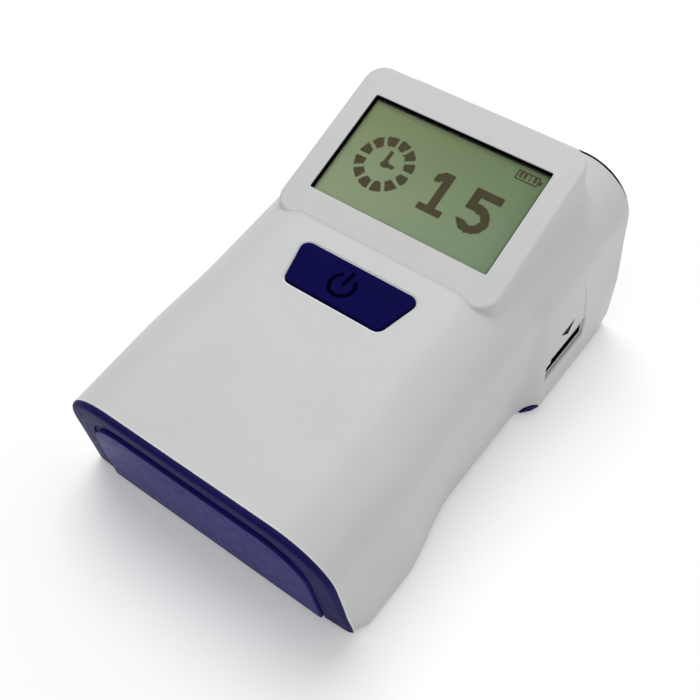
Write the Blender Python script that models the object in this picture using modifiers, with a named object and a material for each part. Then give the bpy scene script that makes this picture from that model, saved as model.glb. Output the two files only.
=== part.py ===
"""Handheld reader for rapid test cassettes, built from its separate pieces.

Metres, +Z up, +X to the reader's right, +Y to its back. The origin is on the
table, under the middle of the reader. Stations along Y are measured from the
line where the front face meets the underside, heights from the underside.
"""
import math

import bmesh
import bpy
from mathutils import Matrix, Vector

# Outer shell
WIDTH = 0.0920
SHELL_LENGTH = 0.1300
FRONT_HEIGHT = 0.0408
REAR_HEIGHT = 0.0588
FRONT_SHOULDER_TUCK = 0.0039
REAR_SHOULDER_TUCK = 0.0019
FRONT_SHOULDER_RADIUS = 0.0165
REAR_SHOULDER_RADIUS = 0.0170
FACE_LEAN_DEG = 9.4
PARTING_LEAN_DEG = 8.3
WALL = 0.0025
SKIRT_RAISE = 0.0003
FOOT_STAND = 0.0008

# Hand waist in the side walls
WAIST_DEPTH = 0.0045
WAIST_START = 0.0200
WAIST_FULL = 0.0500
WAIST_END_SETBACK = 0.0480
HEAD_SETBACK = 0.0395
SHOULDER_WAIST_SHARE = 0.3
CORNER_TUCK = 0.0013
CORNER_TUCK_LENGTH = 0.0070

# Fits and working values
CLEARANCE = 0.0003
SLIDE_CLEARANCE = 0.00035
EMBED = 0.0010
OVERRUN = 0.0100
MERGE_DISTANCE = 0.000001
WELD_DISTANCE = 0.000005

# Display head
DISPLAY_TILT_DEG = 21.6
DISPLAY_SETBACK = 0.0371
DISPLAY_RISE = 0.0061
BEZEL_SIDE_SETBACK = 0.0113
BEZEL_DEPTH = 0.0515
BEZEL_CORNER = 0.0050
BEZEL_EDGE = 0.0007
WINDOW_SIDE_BORDER = 0.00655
WINDOW_END_BORDER = 0.0091
WINDOW_CORNER = 0.0006
HEAD_WALL = 0.0018
HEAD_ROOT = 0.0060
HEAD_DRAFT_SHARE = 0.11
HEAD_BLEND_SHARE = 0.22
HEAD_BLEND_POWER = 4
HEAD_LEVEL_SHARES = (0.3, 0.55, 0.75, 0.9, 1)

# Display stack
LENS_THICKNESS = 0.0010
LENS_LAP = 0.0014
LCD_THICKNESS = 0.0022
BACKLIGHT_THICKNESS = 0.0025
FRAME_WALL = 0.0018
FRAME_LIP = 0.0030
FRAME_BACK = 0.0014

# Power button
BUTTON_SETBACK = 0.0368
BUTTON_REAR_HALF = 0.0188
BUTTON_FRONT_HALF = 0.0150
BUTTON_DEPTH = 0.0138
BUTTON_CORNER = 0.0036
BUTTON_PROUD = 0.0006
BUTTON_EDGE = 0.0005
BUTTON_FLANGE = 0.0013
BUTTON_FLANGE_THICKNESS = 0.0010
BUTTON_STEM_RADIUS = 0.0021
SWITCH_SIDE = 0.0062
SWITCH_HEIGHT = 0.0034
PLUNGER_RADIUS = 0.0016
PLUNGER_HEIGHT = 0.0012
PLUNGER_SEAT = 0.0008
SWITCH_WELL = 0.0018
KEY_BOARD_WIDTH = 0.0520
KEY_BOARD_DEPTH = 0.0240
KEY_BOARD_DROP = 0.0100
BOARD_THICKNESS = 0.0016
KEY_POST_RADIUS = 0.0022
KEY_POST_INSET = 0.0035

# Base
BASE_FLOOR = 0.0030
STEP_LEAD = 0.0008
STEP_NOTCH_LEAD = 0.0033
STEP_NOTCH_RADIUS = 0.0046
STEP_NOTCH_HEIGHT = 0.0026
FRONT_PANEL_DEPTH = 0.0065
FRONT_WALL = 0.0032
FRONT_BAND = 0.0021
PANEL_LIP = 0.0015
PARTING_SETBACK = 0.0010
REAR_PANEL_DEPTH = 0.0056
REAR_PANEL_PROUD = 0.0016
REAR_PANEL_INSET = 0.0003
REAR_EDGE_RADIUS = 0.0013
REAR_WALL = 0.0026

# Front bay and its cover
COVER_SIDE_MARGIN = 0.0104
COVER_TOP_MARGIN = 0.0090
COVER_SIDE_LEAN = 0.0022
COVER_CORNER = 0.0100
COVER_THICKNESS = 0.0021
COVER_PROUD = 0.0008
COVER_RAISE = 0.0006
COVER_EDGE = 0.0005
BAY_SIDE_MARGIN = 0.0076
BAY_HEIGHT = 0.0200
BAY_RAISE = 0.0045
BAY_DEPTH = 0.0215
BAY_WALL = 0.0015
RIM_DEPTH = 0.0045
RIM_WALL = 0.0014

# Cassette slot in the right wall
SLOT_SETBACK = 0.0288
SLOT_WIDTH = 0.0202
SLOT_HEIGHT = 0.0048
SLOT_RAISE = 0.0124
SLOT_STEP_WIDTH = 0.0022
SLOT_STEP_DROP = 0.0013
MOUTH_DEPTH = 0.0016
MOUTH_BOTTOM_FLARE = 0.0035
MOUTH_REAR_FLARE = 0.0029
MOUTH_MARGIN = 0.0002
MOUTH_CORNER = 0.0012
MOUTH_FLARE_SHARES = (1, 0.5, 0)

# Shallow facet over the slot
FACET_DEPTH = 0.0003
FACET_LEAD = 0.0029
FACET_REAR_REACH = 0.0160
FACET_FRONT_REACH = 0.0043
FACET_FADE_REACH = 0.0013
FACET_CENTRE_HEIGHT = 0.0020
FACET_HEIGHT = 0.0426
FACET_START_DEG = 17
FACET_MIDDLE_SHARE = 0.6
FACET_SCALE_SHARES = (1, 0.93, 0.85, 0.7, 0.4)

# Cassette chute and reading optics
CHUTE_WALL = 0.0015
CHUTE_TAIL = 0.0083
CHUTE_PLAY = 0.0004
CHUTE_REST_SHARES = (0.125, 0.875)
READ_WINDOW_LENGTH = 0.0180
READ_WINDOW_WIDTH = 0.0080
READ_REACH = 0.0357
HOOD_LENGTH = 0.0240
HOOD_WIDTH = 0.0180
HOOD_TOP_LENGTH = 0.0200
HOOD_TOP_WIDTH = 0.0140
HOOD_HEIGHT = 0.0220
HOOD_WALL = 0.0014
OPTICS_BOARD_LENGTH = 0.0300
OPTICS_BOARD_WIDTH = 0.0220
SENSOR_SIDE = 0.0066
SENSOR_HEIGHT = 0.0014
LENS_BARREL_RADIUS = 0.0036
LENS_BARREL_HEIGHT = 0.0070
LED_LENGTH = 0.0032
LED_WIDTH = 0.0028
LED_HEIGHT = 0.0011
LED_OFFSET = 0.0064

# Cassette sensing switch
SENSE_GAP = 0.0060
SENSE_LENGTH = 0.0100
SENSE_WIDTH = 0.0052
SENSE_HEIGHT = 0.0056
LEVER_LENGTH = 0.0094
LEVER_WIDTH = 0.0032
LEVER_THICKNESS = 0.0005
LEVER_DIP = 0.0016
LEVER_PIN_RADIUS = 0.0006
LEVER_GAP = 0.0009
LEVER_WINDOW_LEAD = 0.0024
LEVER_BEND_SHARES = (0.5, 0.75)
LEVER_TIP_SHARE = 0.5

# Boards and battery
MAIN_BOARD_SIDE_SETBACK = 0.0130
MAIN_BOARD_FRONT_GAP = 0.0025
MAIN_BOARD_REAR_GAP = 0.0062
MAIN_BOARD_RAISE = 0.0262
MAIN_POST_RADIUS = 0.0025
MAIN_POST_INSET = 0.0040
BATTERY_POST_GAP = 0.0005
BATTERY_FRONT_GAP = 0.0070
BATTERY_REAR_GAP = 0.0212
BATTERY_HEIGHT = 0.0165
BATTERY_CORNER = 0.0030
BATTERY_RIB = 0.0016
BATTERY_RIB_HEIGHT = 0.0080
BATTERY_RIB_SHARES = (0.25, 0.75)
SOCKET_WIDTH = 0.0094
SOCKET_HEIGHT = 0.0042
SOCKET_DEPTH = 0.0076
SOCKET_WALL = 0.0006
SOCKET_SIDE_INSET = 0.0120
JACK_RADIUS = 0.0046
JACK_BORE = 0.0029
JACK_PIN = 0.0009
JACK_LENGTH = 0.0120
JACK_SCREW_GAP = 0.0095
JACK_RAISE = 0.0120
JACK_SADDLE = 0.0080
BUZZER_RADIUS = 0.0060
BUZZER_HEIGHT = 0.0040
BUZZER_PORT_RADIUS = 0.0010
BUZZER_SIDE_INSET = 0.0110
BUZZER_END_INSET = 0.0100
CHIP_SIDE = 0.0120
CHIP_HEIGHT = 0.0012
CHIP_INSET = 0.0225
FLEX_WIDTH = 0.0200
FLEX_THICKNESS = 0.0004
FLEX_BEND = 0.0035
FLEX_STATION_SHARES = (0.25, 0.5, 0.75)
FLEX_DROP_SHARE = 0.75

# Screws and feet
SCREW_SIDE_INSET = 0.0115
SCREW_FRONT_STATION = 0.0140
SCREW_REAR_SETBACK = 0.0120
BOSS_RADIUS = 0.0035
BASE_BOSS_HEIGHT = 0.0085
SCREW_RADIUS = 0.0014
SCREW_LENGTH = 0.0150
SCREW_HEAD_RADIUS = 0.0027
SCREW_HEAD_HEIGHT = 0.0018
SCREW_SINK = 0.0010
DRIVE_RADIUS = 0.0011
DRIVE_DEPTH = 0.0009
FOOT_RADIUS = 0.0052
FOOT_THICKNESS = 0.0018
FOOT_SIDE_INSET = 0.0170
FOOT_FRONT_STATION = 0.0270
FOOT_REAR_SETBACK = 0.0250
FOOT_EDGE = 0.0004

# Mesh resolution
SHOULDER_STEPS = 9
DECK_STEPS = 4
CORNER_STEPS = 5
EDGE_STEPS = 4
ROUND_SIDES = 24
SMALL_SIDES = 16
DRIVE_SIDES = 6
TUCK_RING_SHARES = (0.75,)
WAIST_RING_SHARES = (-0.12, 0.14, 0.31, 0.48, 0.65, 0.82, 1)
GRIP_RING_SHARES = (0.24, 0.57, 0.89)
STEP_RING_SHARES = (0.22, 0.56, 0.94)
HEAD_RING_SHARES = (0.07, 0.15, 0.35, 0.67)
SMOOTH_ANGLE_DEG = 32

# Places that follow from the sizes
FACE_LEAN = math.tan(math.radians(FACE_LEAN_DEG))
PARTING_LEAN = math.tan(math.radians(PARTING_LEAN_DEG))
FRONT_SHOULDER_HALF = WIDTH / 2 - FRONT_SHOULDER_TUCK
REAR_SHOULDER_HALF = WIDTH / 2 - REAR_SHOULDER_TUCK
OVERHANG = FACE_LEAN * (FRONT_HEIGHT - FRONT_BAND)
GROUND_FRONT_Y = OVERHANG - (OVERHANG + SHELL_LENGTH + REAR_PANEL_PROUD) / 2
UNDERSIDE_Z = FOOT_STAND
FRONT_TOP_STATION = PARTING_SETBACK - PARTING_LEAN * FRONT_HEIGHT
DECK_SLOPE = (REAR_HEIGHT - FRONT_HEIGHT) / (SHELL_LENGTH - FRONT_TOP_STATION)
DECK_ANGLE = math.atan(DECK_SLOPE)
INNER_GAP = WALL + CLEARANCE
WAIST_END = SHELL_LENGTH - WAIST_END_SETBACK
HEAD_START = SHELL_LENGTH - HEAD_SETBACK
STEP_NOTCH_STATION = HEAD_START - STEP_NOTCH_LEAD
DISPLAY_STATION = SHELL_LENGTH - DISPLAY_SETBACK
DISPLAY_HEIGHT = FRONT_HEIGHT + DECK_SLOPE * (DISPLAY_STATION - FRONT_TOP_STATION) + DISPLAY_RISE
BEZEL_WIDTH = WIDTH - 2 * BEZEL_SIDE_SETBACK
WINDOW_WIDTH = BEZEL_WIDTH - 2 * WINDOW_SIDE_BORDER
WINDOW_DEPTH = BEZEL_DEPTH - 2 * WINDOW_END_BORDER
BUTTON_STATION = DISPLAY_STATION - BUTTON_SETBACK
COVER_HALF = WIDTH / 2 - COVER_SIDE_MARGIN
COVER_HEIGHT = FRONT_HEIGHT - COVER_TOP_MARGIN
BAY_WIDTH = 2 * (COVER_HALF - BAY_SIDE_MARGIN)
SOCKET_X = SOCKET_SIDE_INSET - BAY_WIDTH / 2
SLOT_STATION = SHELL_LENGTH - SLOT_SETBACK
CHUTE_FRONT = SLOT_STATION - SLOT_WIDTH / 2 - CHUTE_PLAY - CHUTE_WALL
SENSE_REACH = READ_REACH + HOOD_LENGTH / 2 + SENSE_GAP
CHUTE_REACH = SENSE_REACH + CHUTE_TAIL
MAIN_BOARD_WIDTH = WIDTH - 2 * MAIN_BOARD_SIDE_SETBACK
MAIN_BOARD_START = BAY_DEPTH + BAY_WALL + MAIN_BOARD_FRONT_GAP
MAIN_BOARD_END = CHUTE_FRONT - MAIN_BOARD_REAR_GAP
CHIP_STATION = MAIN_BOARD_START + CHIP_INSET
BUZZER_X = MAIN_BOARD_WIDTH / 2 - BUZZER_SIDE_INSET
BUZZER_STATION = MAIN_BOARD_END - BUZZER_END_INSET
BATTERY_WIDTH = MAIN_BOARD_WIDTH - 2 * (MAIN_POST_INSET + MAIN_POST_RADIUS + BATTERY_POST_GAP)
BATTERY_START = BAY_DEPTH + BAY_WALL + BATTERY_FRONT_GAP
BATTERY_END = CHUTE_FRONT - BATTERY_REAR_GAP
SCREW_X = WIDTH / 2 - SCREW_SIDE_INSET
SCREW_REAR_STATION = SHELL_LENGTH - SCREW_REAR_SETBACK
JACK_X = JACK_SCREW_GAP - SCREW_X
FOOT_X = WIDTH / 2 - FOOT_SIDE_INSET
FOOT_REAR_STATION = SHELL_LENGTH - FOOT_REAR_SETBACK

COLLECTION_NAME = "rapid_test_reader"
CUTTER_COLLECTION_NAME = "cutters"

# Colour, roughness and metallic value of each material
FINISHES = {
    "shell_white": ((0.62, 0.63, 0.63), 0.42, 0.0),
    "base_blue": ((0.045, 0.040, 0.160), 0.40, 0.0),
    "button_blue": ((0.012, 0.011, 0.075), 0.45, 0.0),
    "clear_lens": ((0.75, 0.80, 0.72), 0.08, 0.0),
    "lcd_green": ((0.30, 0.42, 0.22), 0.30, 0.0),
    "light_guide": ((0.80, 0.82, 0.80), 0.35, 0.0),
    "black_plastic": ((0.012, 0.012, 0.013), 0.50, 0.0),
    "board_green": ((0.010, 0.095, 0.035), 0.45, 0.0),
    "steel": ((0.55, 0.55, 0.56), 0.30, 1.0),
    "rubber_black": ((0.018, 0.018, 0.018), 0.80, 0.0),
    "battery_wrap": ((0.030, 0.070, 0.130), 0.45, 0.0),
    "led_amber": ((0.85, 0.62, 0.25), 0.25, 0.0),
    "flex_orange": ((0.45, 0.20, 0.04), 0.40, 0.0),
}


def clear_scene():
    for item in list(bpy.data.objects):
        bpy.data.objects.remove(item, do_unlink=True)


def make_collection(name):
    collection = bpy.data.collections.new(name)
    bpy.context.scene.collection.children.link(collection)
    return collection


def make_material(name):
    colour, roughness, metallic = FINISHES[name]
    material = bpy.data.materials.new(name)
    material.use_nodes = True
    shader = material.node_tree.nodes["Principled BSDF"]
    shader.inputs["Base Color"].default_value = (*colour, 1)
    shader.inputs["Roughness"].default_value = roughness
    shader.inputs["Metallic"].default_value = metallic
    material.diffuse_color = (*colour, 1)
    return material


def get_material(name):
    return bpy.data.materials.get(name) or make_material(name)


def world(station, height=0, x=0):
    """A point given by its station behind the front line and height over the underside."""
    return Vector((x, GROUND_FRONT_Y + station, UNDERSIDE_Z + height))


# Objects from meshes

def add_object(name, mesh, material=None, matrix=None):
    item = bpy.data.objects.new(name, mesh)
    if material:
        bpy.data.collections[COLLECTION_NAME].objects.link(item)
        mesh.materials.clear()
        mesh.materials.append(get_material(material))
    else:
        bpy.data.collections[CUTTER_COLLECTION_NAME].objects.link(item)
        item.hide_render = True
        item.display_type = "WIRE"
    if matrix:
        item.matrix_world = matrix
    return item


def mesh_from_bmesh(name, shape):
    bmesh.ops.recalc_face_normals(shape, faces=shape.faces)
    mesh = bpy.data.meshes.new(name)
    shape.to_mesh(mesh)
    shape.free()
    return mesh


def box(name, low, high, material=None, matrix=None):
    low = Vector(low)
    high = Vector(high)
    shape = bmesh.new()
    bmesh.ops.create_cube(shape, size=1)
    bmesh.ops.scale(shape, vec=high - low, verts=shape.verts)
    bmesh.ops.translate(shape, vec=(low + high) / 2, verts=shape.verts)
    return add_object(name, mesh_from_bmesh(name, shape), material, matrix)


def cylinder(name, radius, low, high, centre=(0, 0), sides=ROUND_SIDES, material=None,
             matrix=None, top_radius=None):
    """A cylinder or cone along Z, between two heights."""
    shape = bmesh.new()
    bmesh.ops.create_cone(shape, cap_ends=True, segments=sides, radius1=radius,
                          radius2=radius if top_radius is None else top_radius,
                          depth=high - low)
    middle = Vector((centre[0], centre[1], (low + high) / 2))
    bmesh.ops.translate(shape, vec=middle, verts=shape.verts)
    mesh = mesh_from_bmesh(name, shape)
    mesh.shade_smooth()
    mesh.set_sharp_from_angle(angle=math.radians(SMOOTH_ANGLE_DEG))
    return add_object(name, mesh, material, matrix)


def loft(name, rings, material=None, matrix=None):
    """A closed solid through convex rings of equal point counts, with a fan at both ends."""
    shape = bmesh.new()
    rows = [[shape.verts.new(point) for point in ring] for ring in rings]
    count = len(rows[0])
    for first, second in zip(rows, rows[1:]):
        for index in range(count):
            following = (index + 1) % count
            shape.faces.new((first[index], first[following], second[following], second[index]))
    for row in (rows[0], rows[-1]):
        middle = sum((vertex.co for vertex in row), Vector()) / count
        hub = shape.verts.new(middle)
        for index in range(count):
            shape.faces.new((row[index], row[(index + 1) % count], hub))
    bmesh.ops.triangulate(shape, faces=shape.faces)
    mesh = mesh_from_bmesh(name, shape)
    mesh.shade_smooth()
    mesh.set_sharp_from_angle(angle=math.radians(SMOOTH_ANGLE_DEG))
    return add_object(name, mesh, material, matrix)


def plate(name, outline, low, high, material=None, matrix=None):
    """A flat outline in X and Y, given thickness along Z between two heights."""
    curve = bpy.data.curves.new(name, "CURVE")
    curve.dimensions = "2D"
    curve.fill_mode = "BOTH"
    curve.extrude = (high - low) / 2
    spline = curve.splines.new("POLY")
    spline.points.add(len(outline) - 1)
    for point, place in zip(spline.points, outline):
        point.co = (place[0], place[1], 0, 1)
    spline.use_cyclic_u = True
    drawn = bpy.data.objects.new(name, curve)
    bpy.context.scene.collection.objects.link(drawn)
    graph = bpy.context.evaluated_depsgraph_get()
    mesh = bpy.data.meshes.new_from_object(drawn.evaluated_get(graph))
    bpy.data.objects.remove(drawn, do_unlink=True)
    shape = bmesh.new()
    shape.from_mesh(mesh)
    bmesh.ops.remove_doubles(shape, verts=shape.verts, dist=MERGE_DISTANCE)
    bmesh.ops.translate(shape, vec=(0, 0, (low + high) / 2), verts=shape.verts)
    bpy.data.meshes.remove(mesh)
    return add_object(name, mesh_from_bmesh(name, shape), material, matrix)


def combine(item, other, operation):
    modifier = item.modifiers.new(operation.lower(), "BOOLEAN")
    modifier.operation = operation
    modifier.solver = "EXACT"
    modifier.object = other
    return item


def cut(item, *cutters):
    for cutter in cutters:
        combine(item, cutter, "DIFFERENCE")
    return item


def join(item, *additions):
    for addition in additions:
        combine(item, addition, "UNION")
    return item


def bevel(item, width, angle_deg=SMOOTH_ANGLE_DEG, segments=2):
    modifier = item.modifiers.new("edges", "BEVEL")
    modifier.width = width
    modifier.segments = segments
    modifier.limit_method = "ANGLE"
    modifier.angle_limit = math.radians(angle_deg)
    return item


# Outlines

def arc(centre, radius, start_deg, end_deg, steps):
    points = []
    for step in range(steps + 1):
        angle = math.radians(start_deg + (end_deg - start_deg) * step / steps)
        points.append((centre[0] + radius * math.cos(angle), centre[1] + radius * math.sin(angle)))
    return points


def rounded_polygon(corners, radius, steps=CORNER_STEPS):
    """A convex outline, run anticlockwise, with the same radius at each corner."""
    outline = []
    count = len(corners)
    for index in range(count):
        corner = Vector(corners[index])
        before = (Vector(corners[index - 1]) - corner).normalized()
        after = (Vector(corners[(index + 1) % count]) - corner).normalized()
        half = before.angle(after) / 2
        centre = corner + (before + after).normalized() * (radius / math.sin(half))
        start_point = corner + before * (radius / math.tan(half)) - centre
        start = math.degrees(math.atan2(start_point.y, start_point.x))
        turn = 180 - math.degrees(2 * half)
        outline += arc(centre, radius, start, start + turn, steps)
    return outline


def rectangle(width, depth, radius, steps=CORNER_STEPS):
    half_x = width / 2
    half_y = depth / 2
    corners = ((half_x, -half_y), (half_x, half_y), (-half_x, half_y), (-half_x, -half_y))
    return rounded_polygon(corners, radius, steps)


def ease(value, start, end):
    """Zero before start, one after end, and a smooth change between them."""
    share = min(1, max(0, (value - start) / (end - start)))
    return share * share * (3 - 2 * share)


# Shell sections

def waist(station):
    return ease(station, WAIST_START, WAIST_FULL) - ease(station, WAIST_END, HEAD_START)


def ground_half(station):
    """Half the shell's width at the underside."""
    tuck = CORNER_TUCK * (1 - ease(station, 0, CORNER_TUCK_LENGTH))
    return WIDTH / 2 - WAIST_DEPTH * waist(station) - tuck


def deck_height(station):
    return FRONT_HEIGHT + DECK_SLOPE * (station - FRONT_TOP_STATION)


def parting_station(height):
    """Station of the white shell's leaning front edge at a height."""
    return PARTING_SETBACK - PARTING_LEAN * height


def face_station(height, setback=0):
    """Station of the blue front face at a height, or of a plane set back from it."""
    return setback - FACE_LEAN * height


def mix(first, second, share):
    return first + (second - first) * share


def share_at(station):
    """Share of the shell's length at a station of its roof."""
    return (station - FRONT_TOP_STATION) / (SHELL_LENGTH - FRONT_TOP_STATION)


def shell_shares():
    """Shares of the shell's length at its sections, which lie closer where its sides turn."""
    spans = ((PARTING_SETBACK, CORNER_TUCK_LENGTH, TUCK_RING_SHARES),
             (WAIST_START, WAIST_FULL, WAIST_RING_SHARES),
             (WAIST_FULL, WAIST_END, GRIP_RING_SHARES),
             (WAIST_END, HEAD_START, STEP_RING_SHARES),
             (HEAD_START, SHELL_LENGTH, HEAD_RING_SHARES))
    stations = []
    for start, end, shares in spans:
        stations += [mix(start, end, share) for share in shares]
    length = SHELL_LENGTH - PARTING_SETBACK
    return [0] + [(station - PARTING_SETBACK) / length for station in stations] + [1]


def shoulder_half(share):
    narrow = WAIST_DEPTH * SHOULDER_WAIST_SHARE * waist(mix(FRONT_TOP_STATION, SHELL_LENGTH, share))
    return mix(FRONT_SHOULDER_HALF, REAR_SHOULDER_HALF, share) - narrow


def wall_lean(station):
    """How far the side wall leans in for each unit of height."""
    share = share_at(station)
    rise = deck_height(station) - mix(FRONT_SHOULDER_RADIUS, REAR_SHOULDER_RADIUS, share)
    return (ground_half(station) - shoulder_half(share)) / rise


def arch(ground, shoulder, radius, height, bottom):
    """Right half of an arched section, from the bottom to the middle of the top."""
    centre_x = shoulder - radius
    centre_z = height - radius
    lean = math.atan2(ground - shoulder, centre_z)
    foot_x = centre_x + radius * math.cos(lean)
    foot_z = centre_z + radius * math.sin(lean)
    points = [(foot_x + (foot_z - bottom) * math.tan(lean), bottom)]
    start = math.degrees(lean)
    points += arc((centre_x, centre_z), radius, start, 90, SHOULDER_STEPS)
    for step in range(1, DECK_STEPS):
        points.append((centre_x * (1 - step / DECK_STEPS), height))
    return points


def both_sides(half):
    return half + [(0, half[-1][1])] + [(-x, z) for x, z in reversed(half)]


def shell_section(share, inset, bottom):
    """The shell's outline at a share of its length, drawn in by an inset."""
    top_station = mix(FRONT_TOP_STATION, SHELL_LENGTH, share)
    low_station = mix(PARTING_SETBACK, SHELL_LENGTH, share)
    shoulder = shoulder_half(share)
    radius = mix(FRONT_SHOULDER_RADIUS, REAR_SHOULDER_RADIUS, share)
    ground = ground_half(low_station)
    half = arch(ground - inset, shoulder - inset, radius - inset,
                deck_height(top_station) - inset, bottom)
    return both_sides(half)


def shell_ring(share, inset=0, bottom=SKIRT_RAISE):
    ring = []
    for x, height in shell_section(share, inset, bottom):
        station = mix(parting_station(height), SHELL_LENGTH, share)
        ring.append(world(station, height, x))
    return ring


def make_frames():
    """Placing matrices of the deck at the button and of the display."""
    deck = Matrix.Translation(world(BUTTON_STATION, deck_height(BUTTON_STATION)))
    deck = deck @ Matrix.Rotation(DECK_ANGLE, 4, "X")
    display = Matrix.Translation(world(DISPLAY_STATION, DISPLAY_HEIGHT))
    display = display @ Matrix.Rotation(math.radians(DISPLAY_TILT_DEG), 4, "X")
    return deck, display


# Top housing

def sleeve_height(x, station):
    """Height of the shell's arched roof over a place in the plan, away from the head."""
    share = share_at(station)
    radius = mix(FRONT_SHOULDER_RADIUS, REAR_SHOULDER_RADIUS, share)
    centre = mix(FRONT_SHOULDER_HALF, REAR_SHOULDER_HALF, share) - radius
    beyond = max(0, abs(x) - centre)
    return deck_height(station) - radius + math.sqrt(radius * radius - beyond * beyond)


def head_rings(display, inset):
    """Rings of the display head, from its tilted face down into the shell.

    Below the face each wall leans out a little, then sweeps into the shell's shoulder.
    """
    base = rectangle(BEZEL_WIDTH - 2 * inset, BEZEL_DEPTH - 2 * inset, BEZEL_CORNER - inset)
    wider = rectangle(BEZEL_WIDTH - 2 * inset + 2 * EMBED, BEZEL_DEPTH - 2 * inset + 2 * EMBED,
                      BEZEL_CORNER - inset + EMBED)
    edge_ring = []
    wall_rings = [[] for level in HEAD_LEVEL_SHARES]
    top_ring = []
    root_ring = []
    for point, wide in zip(base, wider):
        outward = (Vector(wide) - Vector(point)) / EMBED
        place = display @ Vector((*point, -inset))
        inner = Vector(point) - outward * BEZEL_EDGE
        top_ring.append(display @ Vector((*inner, -inset)))
        lower = place - Vector((0, 0, BEZEL_EDGE))
        edge_ring.append(lower)
        rise = place.z - UNDERSIDE_Z - sleeve_height(place.x, place.y - GROUND_FRONT_Y)
        rise = max(rise, BEZEL_EDGE)
        for ring, level in zip(wall_rings, HEAD_LEVEL_SHARES):
            grow = rise * (HEAD_DRAFT_SHARE * level + HEAD_BLEND_SHARE * level ** HEAD_BLEND_POWER)
            ring.append(lower + Vector((outward.x * grow, outward.y * grow, -rise * level)))
        root_ring.append(lower - Vector((0, 0, rise + HEAD_ROOT)))
    return [top_ring, edge_ring] + wall_rings + [root_ring]


def slot_outline():
    """The stepped slot, in station and height."""
    front = SLOT_STATION - SLOT_WIDTH / 2
    rear = SLOT_STATION + SLOT_WIDTH / 2
    low = SLOT_RAISE
    high = SLOT_RAISE + SLOT_HEIGHT
    step = front + SLOT_STEP_WIDTH
    return ((front, low), (rear, low), (rear, high), (step, high),
            (step, high - SLOT_STEP_DROP), (front, high - SLOT_STEP_DROP))


def make_slot_cutter():
    """A prism along X with the slot's outline."""
    outline = [(GROUND_FRONT_Y + y, UNDERSIDE_Z + z) for y, z in slot_outline()]
    turn = Matrix(((0, 0, 1, 0), (1, 0, 0, 0), (0, 1, 0, 0), (0, 0, 0, 1)))
    return plate("slot_cutter", outline, WIDTH / 2 - WALL - EMBED - OVERRUN / 2, WIDTH / 2 + OVERRUN,
                 matrix=turn)


def wall_x(station, height):
    """Half the shell's width at a station and height, round the shoulder too."""
    front = parting_station(height)
    share = (station - front) / (SHELL_LENGTH - front)
    radius = mix(FRONT_SHOULDER_RADIUS, REAR_SHOULDER_RADIUS, share)
    centre_x = shoulder_half(share) - radius
    centre_z = deck_height(mix(FRONT_TOP_STATION, SHELL_LENGTH, share)) - radius
    ground = ground_half(mix(PARTING_SETBACK, SHELL_LENGTH, share))
    lean = math.atan2(ground - radius - centre_x, centre_z)
    drop = centre_z - height
    if drop < -radius * math.sin(lean):
        return centre_x + math.sqrt(radius * radius - drop * drop)
    return centre_x + radius / math.cos(lean) + drop * math.tan(lean)


def wall_point(station, height, depth):
    return world(station, height, wall_x(station, height) - depth)


def make_facet_cutter():
    """A shallow facet with an arched rear edge, which fades out towards the front."""
    outline = [(FACET_REAR_REACH * across, FACET_HEIGHT * up)
               for across, up in arc((0, 0), 1, FACET_START_DEG, 90, 2 * SHOULDER_STEPS)]
    foot = outline[0][1]
    outline += [(-FACET_FRONT_REACH, FACET_HEIGHT), (-FACET_FRONT_REACH, foot)]
    middle = mix(foot, FACET_HEIGHT, FACET_MIDDLE_SHARE)
    rings = []
    for scale in FACET_SCALE_SHARES:
        ring = []
        for along, up in outline:
            behind = along * scale
            depth = FACET_DEPTH * (behind + FACET_FADE_REACH) / (FACET_REAR_REACH + FACET_FADE_REACH)
            height = FACET_CENTRE_HEIGHT + mix(middle, up, scale)
            ring.append(wall_point(SLOT_STATION - FACET_LEAD + behind, height, depth))
        rings.append(ring)
    outside = [point + Vector((OVERRUN / 2, 0, 0)) for point in rings[0]]
    return loft("facet_cutter", [outside] + rings)


def make_mouth_cutter():
    """The slot's mouth, flared out to its rear and below it."""
    front = SLOT_STATION - SLOT_WIDTH / 2 - MOUTH_MARGIN
    rear = SLOT_STATION + SLOT_WIDTH / 2 + MOUTH_MARGIN
    low = SLOT_RAISE - MOUTH_MARGIN
    high = SLOT_RAISE + SLOT_HEIGHT
    rings = []
    for share in MOUTH_FLARE_SHARES:
        right = rear + MOUTH_REAR_FLARE * share
        foot = low - MOUTH_BOTTOM_FLARE * share
        corners = ((right, foot), (right, high), (front, high), (front, foot))
        depth = MOUTH_DEPTH * (1 - share) ** 2
        outline = rounded_polygon(corners, MOUTH_CORNER)
        rings.append([wall_point(station, height, depth) for station, height in outline])
    outside = [point + Vector((OVERRUN / 2, 0, 0)) for point in rings[0]]
    return loft("mouth_cutter", [outside] + rings)


def button_outline(grow):
    half = BUTTON_DEPTH / 2 + grow
    corners = ((BUTTON_FRONT_HALF + grow, -half), (BUTTON_REAR_HALF + grow, half),
               (-BUTTON_REAR_HALF - grow, half), (-BUTTON_FRONT_HALF - grow, -half))
    return rounded_polygon(corners, BUTTON_CORNER + grow)


def screw_places():
    for side_name, side in (("left", -1), ("right", 1)):
        for end_name, station in (("front", SCREW_FRONT_STATION), ("rear", SCREW_REAR_STATION)):
            yield f"{end_name}_{side_name}", world(station, 0, side * SCREW_X)


def key_post_places():
    for side in (-1, 1):
        for end in (-1, 1):
            x = side * (KEY_BOARD_WIDTH / 2 - KEY_POST_INSET)
            y = end * (KEY_BOARD_DEPTH / 2 - KEY_POST_INSET)
            yield x, y


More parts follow.
